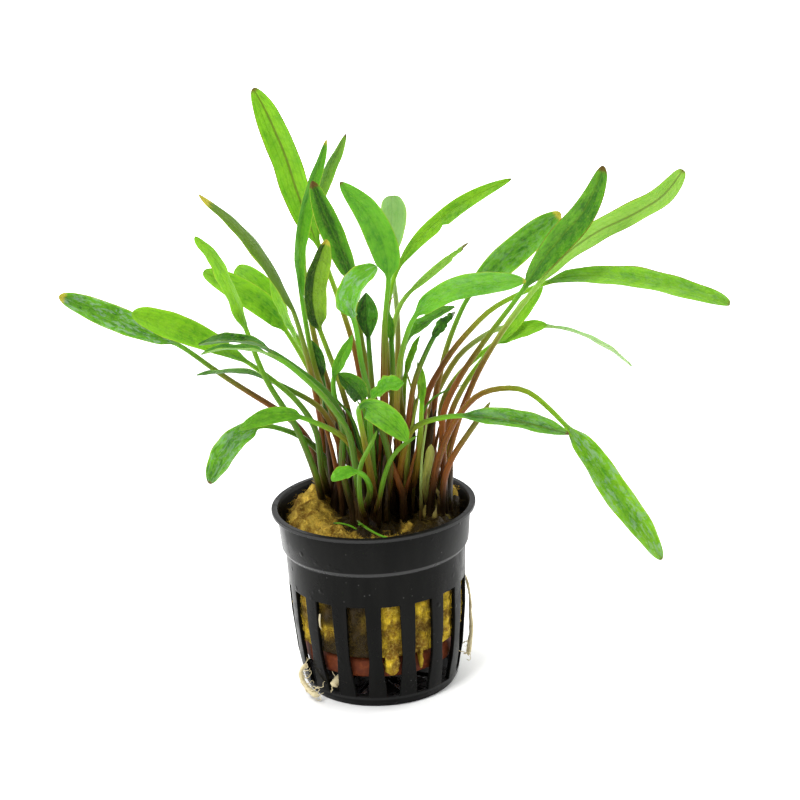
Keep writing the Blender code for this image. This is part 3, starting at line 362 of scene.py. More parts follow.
def leaf_group():
    """Colour, roughness and relief of a leaf, from its stalk's foot to its tip."""
    group, wires, given, result = new_group(
        "leaf surface",
        [("Bright", (0.1, 0.4, 0.01)), ("Dark", (0.03, 0.1, 0.01)), ("Underside", (0.2, 0.4, 0.1)),
         ("Foot", FOOT_BROWN), ("Stalk", STALK_OLIVE), ("Tip", TIP_BROWN), ("Margin", EDGE_YELLOW),
         ("Tip reach", 0.05), ("Mottling", 0.5), ("Veins", 0.5), ("Rib", 0.2), ("Brown reach", 0.4),
         ("Margin amount", 0.0), ("Halves", 0.0), ("Valley", 0.0), ("Sheen", 0.0), ("Wetness", 0.3),
         ("Wet foot", 0.85), ("Length", 50.0), ("Width", 7.0), ("Seed", 0.0)],
        ("Colour", "Roughness", "Relief"))
    add, times, less = (lambda first, second, kind=kind: wires.math(kind, first, second)
                        for kind in ("ADD", "MULTIPLY", "SUBTRACT"))
    uv = wires.node("ShaderNodeUVMap", uv_map="strand").outputs[0]
    across, along, _ = wires.split(uv)
    upper = wires.node("ShaderNodeAttribute", attribute_name="upper").outputs["Fac"]
    side = wires.math("ABSOLUTE", less(across, 0.5))
    blade = less(along, 1.0)
    run = times(blade, given["Length"])
    over = times(across, given["Width"])
    flat = wires.join(over, times(run, 0.42), given["Seed"])
    blots = wires.noise(flat, 0.85, 4.0, 0.62, 0.5)
    grain = wires.noise(flat, 3.4, 2.0, 0.6)
    slow = wires.noise(wires.join(over, times(run, 0.6), given["Seed"]), 0.16, 1.0)
    slant = add(times(side, 9.0), times(blots, 2.0))
    rungs = wires.step(wires.math("SINE", add(times(run, 2.1), slant)), 0.35, 1.0)
    lines = wires.step(wires.math("SINE", add(times(side, 38.0), times(blots, 1.2))), 0.3, 1.0)
    rib = wires.step(side, 0.06, 0.012)
    edge = wires.step(side, 0.455, 0.49)
    # Shaded half: painted shade that darkens one half of a folded blade (below 0 the other half).
    left = wires.step(across, 0.53, 0.47)
    half = add(times(left, wires.math("MAXIMUM", given["Halves"], 0.0)),
               times(less(1.0, left), wires.math("MAXIMUM", times(given["Halves"], -1.0), 0.0)))
    # Valley: painted shade along the middle of the blade, in the fold's valley; it also gathers the blade's real
    # mottling there.
    middle = times(wires.step(side, 0.36, 0.03), given["Valley"])
    # shade is how far the colour goes to the dark green: real mottling, tone and veins, plus the painted shade of one
    # half and of the valley.
    shade = times(wires.step(blots, 0.45, 0.66), add(given["Mottling"], times(middle, 0.4)))
    shade = add(shade, times(wires.step(slow, 0.42, 0.68), 0.35))
    shade = add(shade, times(add(times(rungs, wires.step(side, 0.5, 0.1)), times(lines, 0.7)), times(given["Veins"], 0.30)))
    shade = add(shade, add(times(half, 0.95), times(middle, 0.8)))
    shade = add(shade, times(wires.step(blade, 0.35, 0.0), 0.3))
    shade = wires.math("MINIMUM", shade, 1.0)
    colour = wires.mix(shade, given["Bright"], given["Dark"])
    colour = wires.mix(times(wires.step(grain, 0.48, 0.75), 0.12), colour, (0.55, 0.62, 0.12))
    # Sheen: painted blue-grey reflection on wet patches of the blade.
    film = wires.noise(wires.join(over, times(run, 0.35), given["Seed"]), 0.9, 4.0, 0.7, 0.8)
    colour = wires.mix(times(given["Sheen"], wires.step(film, 0.47, 0.6)), colour, (0.30, 0.42, 0.33))
    colour = wires.mix(times(rib, 0.35), colour, given["Bright"])
    colour = wires.mix(times(rib, given["Rib"]), colour, (0.085, 0.05, 0.010))
    under = wires.mix(times(shade, 0.6), given["Underside"], given["Dark"])
    colour = wires.mix(wires.step(upper, 0.25, 0.6), under, colour)
    colour = wires.mix(times(edge, given["Margin amount"]), colour, given["Margin"])
    reach = add(given["Tip reach"], times(less(blots, 0.5), times(given["Tip reach"], 1.2)))
    tip = times(wires.step(less(reach, less(1.0, blade)), -0.015, 0.015), wires.math("GREATER_THAN", given["Tip reach"], 0.001))
    colour = wires.mix(times(tip, 0.85), colour, given["Tip"])
    streaks = wires.noise(wires.join(times(across, 9.0), times(along, 2.5), given["Seed"]), 1.0, 3.0)
    rise = add(along, times(less(streaks, 0.5), 0.35))
    stalk = wires.mix(wires.step(less(rise, given["Brown reach"]), -0.22, 0.3), given["Foot"], given["Stalk"])
    stalk = wires.mix(times(wires.step(streaks, 0.48, 0.62), wires.step(rise, 0.75, 0.2)), stalk, (0.085, 0.028, 0.006))
    stalk = wires.mix(wires.step(rise, 0.30, -0.04), stalk, FOOT_DARK)
    # The stalk goes nearly black low down, below about 60 mm, as far as the foot darkening amount asks.
    height = add(wires.split(wires.place())[2], times(less(streaks, 0.5), 0.012))
    foot = wires.step(height, 0.060, 0.0505)
    stalk = wires.mix(wires.step(rise, 0.5, 1.02), stalk, given["Bright"])
    stalk = wires.mix(times(wires.step(streaks, 0.52, 0.78), 0.35), stalk, (0.42, 0.24, 0.08))
    stalk = wires.mix(times(wires.step(streaks, 0.5, 0.28), 0.35), stalk, given["Dark"])
    stalk = wires.mix(times(foot, given["Wet foot"]), stalk, (0.016, 0.009, 0.003))
    colour = wires.mix(wires.step(along, 0.97, 1.10), stalk, colour)
    wires.feed(result["Colour"], colour)
    damp = times(wires.step(wires.noise(flat, 0.42, 3.0, 0.6, 1.2), 0.46, 0.56), given["Wetness"])
    wires.feed(result["Roughness"], add(less(0.44, times(damp, 0.32)), times(grain, 0.06)))
    relief = add(times(add(rungs, lines), -0.22), times(blots, 0.4))
    ripples = wires.noise(wires.join(times(over, 1.0), times(run, 0.8), given["Seed"]), 1.6, 3.0)
    relief = add(relief, times(ripples, add(times(damp, 1.4), 0.35)))
    wires.feed(result["Relief"], less(relief, times(rib, 0.5)))
    return group


def speckle_group():
    """Pale dried spots and wiped streaks on a smooth surface."""
    group, wires, given, result = new_group(
        "water marks", [("Amount", 0.5), ("Scale", 900.0)], ("Spots", "Streaks"))
    spots = wires.step(wires.cells(wires.place(), given["Scale"]), 0.16, 0.05)
    patches = wires.step(wires.noise(wires.place(), 120.0, 2.0), 0.5, 0.62)
    wires.feed(result["Spots"], wires.math("MULTIPLY", wires.math("MULTIPLY", spots, patches), given["Amount"]))
    wires.feed(result["Streaks"], wires.noise(wires.stretched(1.0, 1.0, 0.18), 260.0, 3.0))
    return group


def shared(name, maker):
    return bpy.data.node_groups.get(name) or maker()


def new_material(name, roughness=0.5, specular=0.5):
    made = bpy.data.materials.new(name)
    made.use_nodes = True
    wires = Wiring(made.node_tree)
    shader = made.node_tree.nodes["Principled BSDF"]
    shader.inputs["Roughness"].default_value = roughness
    shader.inputs["Specular IOR Level"].default_value = specular
    return made, wires, shader


def add_bump(wires, shader, height, distance, strength=0.6):
    bump = wires.node("ShaderNodeBump")
    bump.inputs["Distance"].default_value = distance
    bump.inputs["Strength"].default_value = strength
    wires.feed(bump.inputs["Height"], height)
    wires.feed(shader.inputs["Normal"], bump.outputs[0])


def leaf_material(name, look, length, width, seed):
    bright, dark, mottling, veins, under = GREENS[look["green"]]
    made, wires, shader = new_material(name, 0.4, 0.16)
    surface = wires.node("ShaderNodeGroup", node_tree=shared("leaf surface", leaf_group))
    values = {"Bright": bright, "Dark": dark, "Underside": under, "Foot": FOOT_BROWN,
              "Stalk": STALK_GREEN if look["brown"] < GREEN_STALK_BROWN else STALK_OLIVE,
              "Tip": look["tip"], "Margin": look["edge"] or EDGE_YELLOW, "Tip reach": look["reach"],
              "Margin amount": 0.8 if look["edge"] else 0.45, "Mottling": mottling, "Veins": veins,
              "Rib": look["rib"], "Brown reach": look["brown"], "Halves": look["halves"],
              "Valley": look["valley"], "Sheen": look["sheen"], "Wetness": look["wet"],
              "Length": length, "Width": width, "Seed": seed}
    for label, value in values.items():
        surface.inputs[label].default_value = (*value, 1.0) if isinstance(value, tuple) else value
    wires.feed(shader.inputs["Base Color"], surface.outputs["Colour"])
    wires.feed(shader.inputs["Roughness"], surface.outputs["Roughness"])
    shader.inputs["Subsurface Weight"].default_value = 0.15
    shader.inputs["Subsurface Radius"].default_value = (0.6, 1.0, 0.05)
    shader.inputs["Subsurface Scale"].default_value = 0.0006
    add_bump(wires, shader, surface.outputs["Relief"], 0.00022, 0.8)
    return made


def stalk_material(name, colour, brown_reach, seed, wet_foot=0.85):
    made = leaf_material(name, leaf("mid", (0, -1, 0), brown=brown_reach), 10.0, 3.0, seed)
    surface = next(node for node in made.node_tree.nodes if node.type == "GROUP")
    for label in ("Bright", "Stalk"):
        surface.inputs[label].default_value = (*colour, 1.0)
    surface.inputs["Wet foot"].default_value = wet_foot
    return made


def pot_material():
    made, wires, shader = new_material("pot plastic", 0.3, 0.072)
    marks = wires.node("ShaderNodeGroup", node_tree=shared("water marks", speckle_group))
    marks.inputs["Amount"].default_value = 0.6
    marks.inputs["Scale"].default_value = 620.0
    colour = wires.mix(wires.step(marks.outputs["Streaks"], 0.35, 0.7), tuple(settings().pot_colour),
                       (0.0046, 0.0046, 0.0040))
    colour = wires.mix(wires.math("MULTIPLY", marks.outputs["Spots"], 0.3), colour, (0.25, 0.25, 0.24))
    height = wires.split(wires.place())[2]
    # Light grey lines on the step, the rim's top edge and the bottom ring: painted highlights.
    for low, high, shine in ((37.9, 38.7, 0.055), (48.3, 48.75, 0.04), (2.3, 2.7, 0.02)):
        band = wires.math("MULTIPLY", wires.step(height, (low - 0.4) * MM, low * MM), wires.step(height, (high + 0.3) * MM, high * MM))
        colour = wires.mix(wires.math("MULTIPLY", band, 0.8), colour, (shine, shine, shine))
    wires.feed(shader.inputs["Base Color"], colour)
    damp = wires.step(wires.noise(wires.place(), 75.0, 3.0, 0.6, 0.6), 0.44, 0.6)
    rough = wires.math("ADD", wires.step(damp, 0.0, 1.0, 0.34, 0.17), wires.math("MULTIPLY", marks.outputs["Streaks"], 0.1))
    wires.feed(shader.inputs["Roughness"], wires.math("ADD", rough, wires.math("MULTIPLY", marks.outputs["Spots"], 0.2)))
    drops = wires.math("MULTIPLY", wires.step(wires.cells(wires.place(), 330.0), 0.3, 0.05),
                       wires.step(wires.noise(wires.place(), 90.0, 2.0), 0.52, 0.6))
    grain = wires.math("MULTIPLY", wires.noise(wires.place(), 900.0, 2.0), 0.12)
    add_bump(wires, shader, wires.math("ADD", grain, drops), 0.00025, 0.6)
    return made


def wool_material(name, fibre):
    made, wires, shader = new_material(name, 0.8, 0.12)
    height = wires.split(wires.place())[2]
    golden = wires.mix(wires.step(height, 40 * MM, 44 * MM), tuple(settings().wool_colour), (0.86, 0.58, 0.085))
    wet = wires.node("ShaderNodeAttribute", attribute_name="wet").outputs["Fac"]
    lumps = wires.noise(wires.place(), 260.0, 4.0, 0.6)
    fine = wires.noise(wires.place(), 1500.0, 3.0, 0.7)
    strands = wires.noise(wires.stretched(1.0, 1.0, 0.25), 1900.0, 3.0, 0.6, 0.6)
    # Dark cell edges: painted shade in the wool's crevices.
    crevice = wires.step(wires.cells(wires.place(), 420.0, "F1"), 0.35, 0.75)
    colour = wires.mix(wires.step(lumps, 0.38, 0.62), (0.20, 0.10, 0.008), golden)
    colour = wires.mix(wires.math("MULTIPLY", crevice, 0.55), colour, (0.09, 0.045, 0.005))
    colour = wires.mix(wires.math("MULTIPLY", wires.step(fine, 0.45, 0.75), 0.5), colour, (0.85, 0.66, 0.14))
    colour = wires.mix(wires.math("MULTIPLY", wires.step(strands, 0.35, 0.5), 0.0 if fibre else 0.35),
                       colour, (0.10, 0.055, 0.006))
    dark = (0.055, 0.035, 0.004) if fibre else (0.022, 0.013, 0.002)
    colour = wires.mix(wires.step(wet, 0.25, 0.8), colour, dark)
    wires.feed(shader.inputs["Base Color"], colour)
    wires.feed(shader.inputs["Roughness"], wires.step(wet, 0.3, 1.0, 0.85, 0.38))
    add_bump(wires, shader, wires.math("ADD", fine, wires.math("MULTIPLY", strands, 0.7)), 0.0004, 0.8)
    return made


def clay_material():
    made, wires, shader = new_material("fired clay", 0.6, 0.15)
    spots = wires.noise(wires.place(), 700.0, 4.0, 0.65)
    colour = wires.mix(wires.step(spots, 0.4, 0.7), tuple(settings().clay_colour), (0.17, 0.040, 0.010))
    colour = wires.mix(wires.step(wires.noise(wires.place(), 150.0), 0.5, 0.7), colour, (0.09, 0.02, 0.008))
    wires.feed(shader.inputs["Base Color"], colour)
    add_bump(wires, shader, spots, 0.0002)
    return made


def root_material(name, colour, tint):
    made, wires, shader = new_material(name, 0.42, 0.25)
    bands = wires.noise(wires.place(), 420.0, 4.0, 0.6, 0.5)
    fine = wires.noise(wires.place(), 2400.0, 2.0)
    base = wires.mix(wires.step(bands, 0.45, 0.72), colour, tint)
    wires.feed(shader.inputs["Base Color"], wires.mix(wires.math("MULTIPLY", fine, 0.25), base, tint))
    wires.feed(shader.inputs["Roughness"], wires.step(bands, 0.3, 0.7, 0.3, 0.6))
    add_bump(wires, shader, wires.math("ADD", bands, fine), 0.00015)
    return made


# ---------------------------------------------------------------- meshes


def finish_piece(name, builder, paint, slot, replaced=(), sharp=None, normals=True):
    """Turn a bmesh into a piece that rides on the pot and stands for the named solids."""
    if normals:
        bmesh.ops.recalc_face_normals(builder, faces=builder.faces)
    if not builder.faces:
        raise RuntimeError(name + " has no faces")
    mesh = bpy.data.meshes.new(name)
    builder.to_mesh(mesh)
    builder.free()
    mesh.shade_smooth()
    if sharp:
        mesh.set_sharp_from_angle(angle=math.radians(sharp))
    made = bpy.data.objects.new(name, mesh)
    bpy.context.scene.collection.objects.link(made)
    mesh.materials.append(paint)
    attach(made, "root")
    if replaced:
        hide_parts(*replaced)
    return made


def frame_slot(name):
    """The record's material slot of a node, which the frame gives its material's name."""
    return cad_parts[name].data.materials[0].name


def cut_points(edges, point, normal, reach):
    """Where a plane cuts the edges, near a point."""
    found = []
    for start, end in edges:
        below, above = (start - point).dot(normal), (end - point).dot(normal)
        if (below < 0) != (above < 0):
            place = start.lerp(end, below / (below - above))
            if (place - point).length < reach:
                found.append(place)
    return found


def read_strand(name):
    """Follow a long thin solid from its foot to its tip: its centres and half widths."""
    builder = bmesh.new()
    builder.from_mesh(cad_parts[name].data)
    bmesh.ops.remove_doubles(builder, verts=builder.verts, dist=2e-6)
    edges = [(edge.verts[0].co.copy(), edge.verts[1].co.copy()) for edge in builder.edges]
    corners = [vert.co.copy() for vert in builder.verts]
    builder.free()
    foot = [co for co in corners if 46 * MM < co.z < 51.5 * MM and math.hypot(co.x, co.y) < 26.5 * MM]
    if not foot:
        raise RuntimeError(name + " has no foot in the pot")
    centre = sum(foot, Vector()) / len(foot)
    direction = Vector((0, 0, 1))
    centres, halves = [centre], [0.95 * MM]
    while len(centres) < 200:
        points = cut_points(edges, centre + direction * 1.5 * MM, direction, 8 * MM)
        if len(points) < 3:
            break
        pair = max(((first, second) for index, first in enumerate(points) for second in points[index + 1:]),
                   key=lambda ends: (ends[0] - ends[1]).length)
        middle = (pair[0] + pair[1]) / 2
        half = (pair[0] - pair[1]).length / 2
        across = (pair[0] - pair[1]).normalized()
        inner = [place for place in points if abs((place - middle).dot(across)) < 0.62 * half] or [middle]
        ahead = sum(inner, Vector()) / len(inner) if half > 1.3 * MM else sum(points, Vector()) / len(points)
        direction = (direction + 1.5 * (ahead - centre).normalized()).normalized()
        centre = ahead
        centres.append(centre)
        halves.append(half)
    near = [co for co in corners if (co - centre).length < 3 * MM and (co - centre).dot(direction) > 0]
    if near:
        centres.append(max(near, key=lambda co: (co - centre).dot(direction)))
        halves.append(0.0)
    return centres, halves


def smoothed(items, rounds):
    for _ in range(rounds):
        items = [items[0]] + [(before + 2 * item + after) / 4
                              for before, item, after in zip(items, items[1:], items[2:])] + [items[-1]]
    return items


class Route:
    """A smooth line with a direction that the upper face looks to, read by distance."""

    def __init__(self, centres, normals):
        self.centres = centres
        self.lengths = [0.0]
        for start, end in zip(centres, centres[1:]):
            self.lengths.append(self.lengths[-1] + (end - start).length)
        self.total = self.lengths[-1]
        self.normals = normals

    def at(self, distance):
        distance = min(max(distance, 0.0), self.total)
        index = next((i for i, length in enumerate(self.lengths[1:]) if length >= distance), len(self.lengths) - 2)
        span = self.lengths[index + 1] - self.lengths[index]
        share = (distance - self.lengths[index]) / span if span else 0.0
        return index, share

    def frame(self, distance):
        index, share = self.at(distance)
        last = len(self.centres) - 1
        centre = self.centres[index].lerp(self.centres[index + 1], share)
        before = self.centres[min(index + 1, last)] - self.centres[max(index - 1, 0)]
        after = self.centres[min(index + 2, last)] - self.centres[index]
        along = before.normalized().lerp(after.normalized(), share).normalized()
        normal = self.normals[index].lerp(self.normals[index + 1], share)
        normal = (normal - normal.dot(along) * along).normalized()
        return centre, along.cross(normal), normal


def smooth_step(value, low, high):
    share = min(max((value - low) / (high - low), 0.0), 1.0)
    return share * share * (3 - 2 * share)


def wrap_strand(builder, route, rows, sides, section):
    """Wrap a grid round a route. section(row share, angle) gives the offsets and the map position."""
    bmesh.ops.create_grid(builder, x_segments=sides, y_segments=rows, size=1.0)
    builder.verts.ensure_lookup_table()
    upper = builder.verts.layers.float.new("upper")
    uv = builder.loops.layers.uv.new("strand")
    places = {}
    for vert in builder.verts:
        angle = math.pi * (vert.co.x + 1)
        row = (vert.co.y + 1) / 2
        distance, side, rise, over, along = section(row, angle)
        centre, across, normal = route.frame(distance)
        if distance < 0:
            centre = centre + distance * Vector((0, 0, 1))
        vert.co = centre + side * across + rise * normal
        vert[upper] = 0.5 + 0.5 * math.sin(angle)
        places[vert.index] = (over, along)
    for face in builder.faces:
        for loop in face.loops:
            loop[uv].uv = places[loop.vert.index]
    bmesh.ops.remove_doubles(builder, verts=builder.verts, dist=1e-7)


def read_route(name, looks):
    """A solid leaf's smooth route, the distance to its neck and its half width."""
    centres, halves = read_strand(name)
    widest = max(range(len(halves)), key=lambda index: halves[index])
    neck = max((index for index in range(widest) if halves[index] < 0.95 * MM), default=0)
    centres = smoothed(centres, 9)
    looks = Vector(looks).normalized()
    normals, normal = [], looks
    for index in range(len(centres)):
        along = (centres[min(index + 1, len(centres) - 1)] - centres[max(index - 1, 0)]).normalized()
        wanted = looks - looks.dot(along) * along
        if wanted.length < 0.35:
            wanted = normal - normal.dot(along) * along
        normal = wanted.normalized()
        normals.append(normal)
    route = Route(centres, [normal.normalized() for normal in smoothed(normals, 6)])
    return route, route.lengths[neck], halves[widest]


def leaf_section(route, neck, half, look, seed):
    """The outline of a leaf: a stalk that flattens into a thin folded blade."""
    chance = random.Random(seed)
    phases = [chance.uniform(0, 6.28) for _ in range(4)]
    waves = chance.uniform(1.6, 2.6)
    below = 7 * MM
    foot_rows = 0.42
    half = half * 1.03 * look["slim"]
    thickness = settings().blade_thickness

    def section(row, angle):
        x, y = math.cos(angle), math.sin(angle)
        if row < foot_rows:
            t = 0.0
            distance = -below + (below + neck) * row / foot_rows
            along = max(0.0, distance / neck)
        else:
            t = 1 - (1 - (row - foot_rows) / (1 - foot_rows)) ** 1.5
            distance = neck + (route.total - neck) * t
            along = 1 + t
        radius = (0.98 - 0.36 * min(max(distance / neck, 0.0), 1.0)) * MM
        if distance < 2 * MM:
            radius *= 1 + 0.25 * smooth_step(distance, 2 * MM, -1 * MM) - 0.9 * smooth_step(distance, -4 * MM, -below)
        if row == 0:
            radius = 0.0
        bend = t ** (math.log(0.5) / math.log(look["widest"]))
        width = half * max(0.0, 4 * bend * (1 - bend)) ** look["blunt"]
        side_noise = noise.noise(Vector((3.0 * t, 4.0 if x > 0 else -4.0, seed)))
        width *= 1 + 0.10 * side_noise * abs(x)
        if look["torn"] and t > 1 - look["torn"]:
            width *= 1 - 0.55 * abs(noise.fractal(Vector((38 * t, 2.0 * (x > 0), seed)), 0.8, 2.1, 3))
        if look["notch"] and x > 0:
            width *= 1 - 0.5 * math.exp(-((t - look["notch"]) / 0.018) ** 2)
        flat = smooth_step(t, 0.0, 0.14)
        full = 0.0 if t >= 1 else max(width, radius * (1 - smooth_step(t, 0.0, 0.5)))
        lift = full * (look["fold"] * (math.sqrt(x * x + 0.03) - math.sqrt(0.03)) + 0.12 * x * x)
        ripple = math.sin(6.283 * waves * t + phases[0 if x > 0 else 1]) + 0.5 * math.sin(
            6.283 * 2.3 * waves * t + phases[2 if x > 0 else 3])
        broad = min(1.0, width / (half * 0.8))
        lift += look["wave"] * MM * ripple * x * x * broad
        lift += 0.25 * MM * noise.noise(Vector((1.6 * x, 7 * t, seed * 2.3))) * broad
        edge = thickness * (0.25 + 0.75 * math.sqrt(max(0.0, 1 - x * x))) / 2
        rib = math.exp(-(x * full / (0.45 * MM)) ** 2) * (1 - 0.8 * t) * MM
        thick = 0.0 if t >= 1 else edge * y + (-0.32 if y < 0 else -0.20) * rib * abs(y)
        turn = math.radians(look["twist"]) * math.sin(3.14 * t)
        wide = (1 - flat) * radius * x + flat * full * x
        rise = (1 - flat) * radius * y + flat * (lift + thick)
        wide, rise = wide * math.cos(turn) - rise * math.sin(turn), wide * math.sin(turn) + rise * math.cos(turn)
        return distance, wide, rise, 0.5 + 0.5 * x, along

    return section


def tube_section(length, below, start_radius, end_radius, ends=2.5):
    """The outline of a round stalk or root with closed, rounded ends."""
    def section(row, angle):
        distance = -below + (length + below) * row
        share = min(max(distance / length, 0.0), 1.0)
        radius = (start_radius + (end_radius - start_radius) * share) * MM
        radius *= min(1.0, (max(0.0, 1 - row) * ends * 4) ** 0.5)
        radius *= min(1.0, (row * 12) ** 0.5)
        if row in (0.0, 1.0):
            radius = 0.0
        return distance, radius * math.cos(angle), radius * math.sin(angle), 0.5 + 0.5 * math.cos(angle), share
    return section


def rough_up(builder, amount, scale, seed):
    """Push a mesh in and out with noise."""
    shift = Vector((seed * 3.7, seed * 1.3, 0))
    builder.normal_update()
    for vert in builder.verts:
        value = noise.fractal(vert.co * scale + shift, 0.7, 2.1, 4)
        vert.co += vert.normal * value * amount


def inside_radius(height):
    for (low, low_radius), (high, high_radius) in zip(POT_OUTSIDE, POT_OUTSIDE[1:]):
        if height <= high:
            share = max(0.0, (height - low) / (high - low))
            return low_radius + share * (high_radius - low_radius) - POT_WALL
    return POT_OUTSIDE[-1][1] - POT_WALL


def slot_half(height):
    for (low, low_half), (high, high_half) in zip(SLOT_OUTLINE, SLOT_OUTLINE[1:]):
        if height <= high:
            return low_half + (high_half - low_half) * max(0.0, (height - low) / (high - low))
    return SLOT_OUTLINE[-1][1]


def spun(profile, steps):
    """A profile of (radius, height) points in millimetres, spun round the pot's axis."""
    builder = bmesh.new()
    points = [builder.verts.new((radius * MM, 0.0, height * MM)) for radius, height in profile]
    edges = [builder.edges.new(pair) for pair in zip(points, points[1:])]
    bmesh.ops.spin(builder, geom=points + edges, cent=(0, 0, 0), axis=(0, 0, 1), dvec=(0, 0, 0),
                   angle=2 * math.pi, steps=steps, use_merge=True)
    bmesh.ops.remove_doubles(builder, verts=builder.verts, dist=1e-6)
    bmesh.ops.recalc_face_normals(builder, faces=builder.faces)
    return builder


def from_front(x, y):
    """Direction of a point, in degrees from the front towards +X."""
    return math.degrees(math.atan2(x, -y))


def set_around(vert, direction, distance):
    vert.co.x = distance * math.sin(math.radians(direction))
    vert.co.y = -distance * math.cos(math.radians(direction))


def open_gaps(builder, count, turn, columns, holds, half_width, in_gap):
    """Line the columns of a spun mesh up with evenly spaced gaps, and cut the gaps through."""
    period = 360.0 / count
    column = period / columns
    for vert in builder.verts:
        distance = math.hypot(vert.co.x, vert.co.y)
        height = vert.co.z
        if not holds(distance / MM, height / MM):
            continue
        direction = from_front(vert.co.x, vert.co.y)
        middle = turn + period * round((direction - turn) / period)
        index = round((direction - middle) / column)
        edge = math.degrees(math.asin(half_width(height / MM) * MM / distance))
        size = abs(index)
        place = 0.0 if size == 0 else edge + (period / 2 - edge) * (size - 1) / (columns / 2 - 1)
        set_around(vert, middle + math.copysign(place, index), distance)
    doomed = []
    for face in builder.faces:
        centre = face.calc_center_median()
        distance = math.hypot(centre.x, centre.y)
        if not in_gap(distance / MM, centre.z / MM) or distance == 0:
            continue
        direction = from_front(centre.x, centre.y)
        off = direction - turn - period * round((direction - turn) / period)
        if abs(off) < 0.8 * math.degrees(math.asin(half_width(centre.z / MM) * MM / distance)):
            doomed.append(face)
    bmesh.ops.delete(builder, geom=doomed, context="FACES")
    loose = {}
    for edge in builder.edges:
        if edge.is_boundary:
            middle = (edge.verts[0].co + edge.verts[1].co) / 2
            key = round((from_front(middle.x, middle.y) - turn) / period) % count
            loose.setdefault(key, []).append(edge)
    corners = []
    for edges in loose.values():
        made = bmesh.ops.bridge_loops(builder, edges=edges)
        corners += made["faces"]
    return corners


# ---------------------------------------------------------------- operators


class PLANT_OT_pot(bpy.types.Operator):
    """Net pot: a turned wall with slots, a stepped band, a rim and drains in its floor"""
    bl_idname = "plant.pot"
    bl_label = "Net pot"

    def execute(self, context):
        rows = (2.8, 5.5, 9.5, 14.0, 20.0, 25.0, 29.0)
        wall = [(inside_radius(height) + POT_WALL, height) for height in rows]
        profile = [(0.0, 0.0), (DRAIN_FROM, 0.0), (DRAIN_TO, 0.0), (19.4, 0.0), (20.3, 1.6)] + wall
        profile += [(23.5, 37.7), (23.95, 38.1), (24.4, 38.9), (25.2, 48.0), (26.5, 48.0), (26.5, 49.0), (25.0, 49.0)]
        profile += [(24.0, 46.4), (23.2, 39.2), (22.3, 37.8)]
        profile += [(radius - POT_WALL, height) for radius, height in reversed(wall)]
        profile += [(19.0, 2.0), (18.2, 1.4), (DRAIN_TO, 1.4), (DRAIN_FROM, 1.4), (0.0, 1.4)]
        builder = spun(profile, SLOTS * POT_COLUMNS)
        open_gaps(builder, SLOTS, SLOT_TURN, POT_COLUMNS, lambda distance, height: distance > 19.1 and height < 29.5 and height > 2.5,
                  slot_half, lambda distance, height: distance > 17.5 and 2.8 < height < 29.0)
        open_gaps(builder, DRAINS, 22.5, 2 * POT_COLUMNS, lambda distance, height: 6 < distance < 16 and height < 2,
                  lambda height: 1.0, lambda distance, height: 7.0 < distance < 15.0 and height < 2)
        bmesh.ops.recalc_face_normals(builder, faces=builder.faces)
        pot = finish_piece("pot", builder, pot_material(), "pot", ("net_pot",), sharp=40, normals=False)
        bevel = pot.modifiers.new("rounded edges", "BEVEL")
        bevel.width = 0.22 * MM
        bevel.segments = 3
        bevel.limit_method = "ANGLE"
        bevel.angle_limit = math.radians(32)
        bevel.harden_normals = True
        return {"FINISHED"}


class PLANT_OT_clay_disc(bpy.types.Operator):
    """Clay disc under the rockwool, with a rough turned edge"""
    bl_idname = "plant.clay_disc"
    bl_label = "Clay disc"

    def execute(self, context):
        profile = [(0, 8.0), (8, 8.0), (14, 8.0), (18.6, 8.0), (19.4, 8.4), (19.75, 9.4), (19.8, 11), (19.8, 12.4),
                   (19.5, 13.3), (18.8, 13.75), (14, 13.8), (8, 13.8), (0, 13.8)]
        builder = spun(profile, 120)
        rough_up(builder, 0.12 * MM, 500, 2)
        finish_piece("clay_disc_worn", builder, clay_material(), "clay", ("clay_disc",), sharp=50)
        return {"FINISHED"}


def wool_top(x, y):
    """Height of the plug's top: its lumps, and a bank round each crown."""
    height = 43.0 + sum(rise * math.exp(-((x - at_x) ** 2 + (y - at_y) ** 2) / (2 * spread ** 2))
                        for at_x, at_y, rise, spread in WOOL_LUMPS)
    bank = max(math.exp(-(max(0.0, math.hypot(x - at_x, y - at_y) - radius) / 2.6) ** 2)
               for at_x, at_y, radius in CROWNS.values())
    return height + bank * max(0.0, 45.6 - height)


def wool_surface(x, y):
    """A point of the plug's torn top: it bulges out to the pot where it is high."""
    place = Vector((x, y, 43.0))
    distance = math.hypot(x, y)
    rim = smooth_step(distance, 22.4, 19.0)
    rough = noise.fractal(place * 0.42, 0.7, 2.1, 5) * 1.9 + noise.fractal(place * 0.95, 0.8, 2.1, 3) * 0.9
    top = wool_top(x, y) - 0.9 * (1 - rim) + rough * (0.45 + 0.55 * rim)
    bulge = 1 + 0.06 * smooth_step(distance, 14, 21) * smooth_step(top, 43.5, 47)
    return Vector((x * bulge, y * bulge, top))


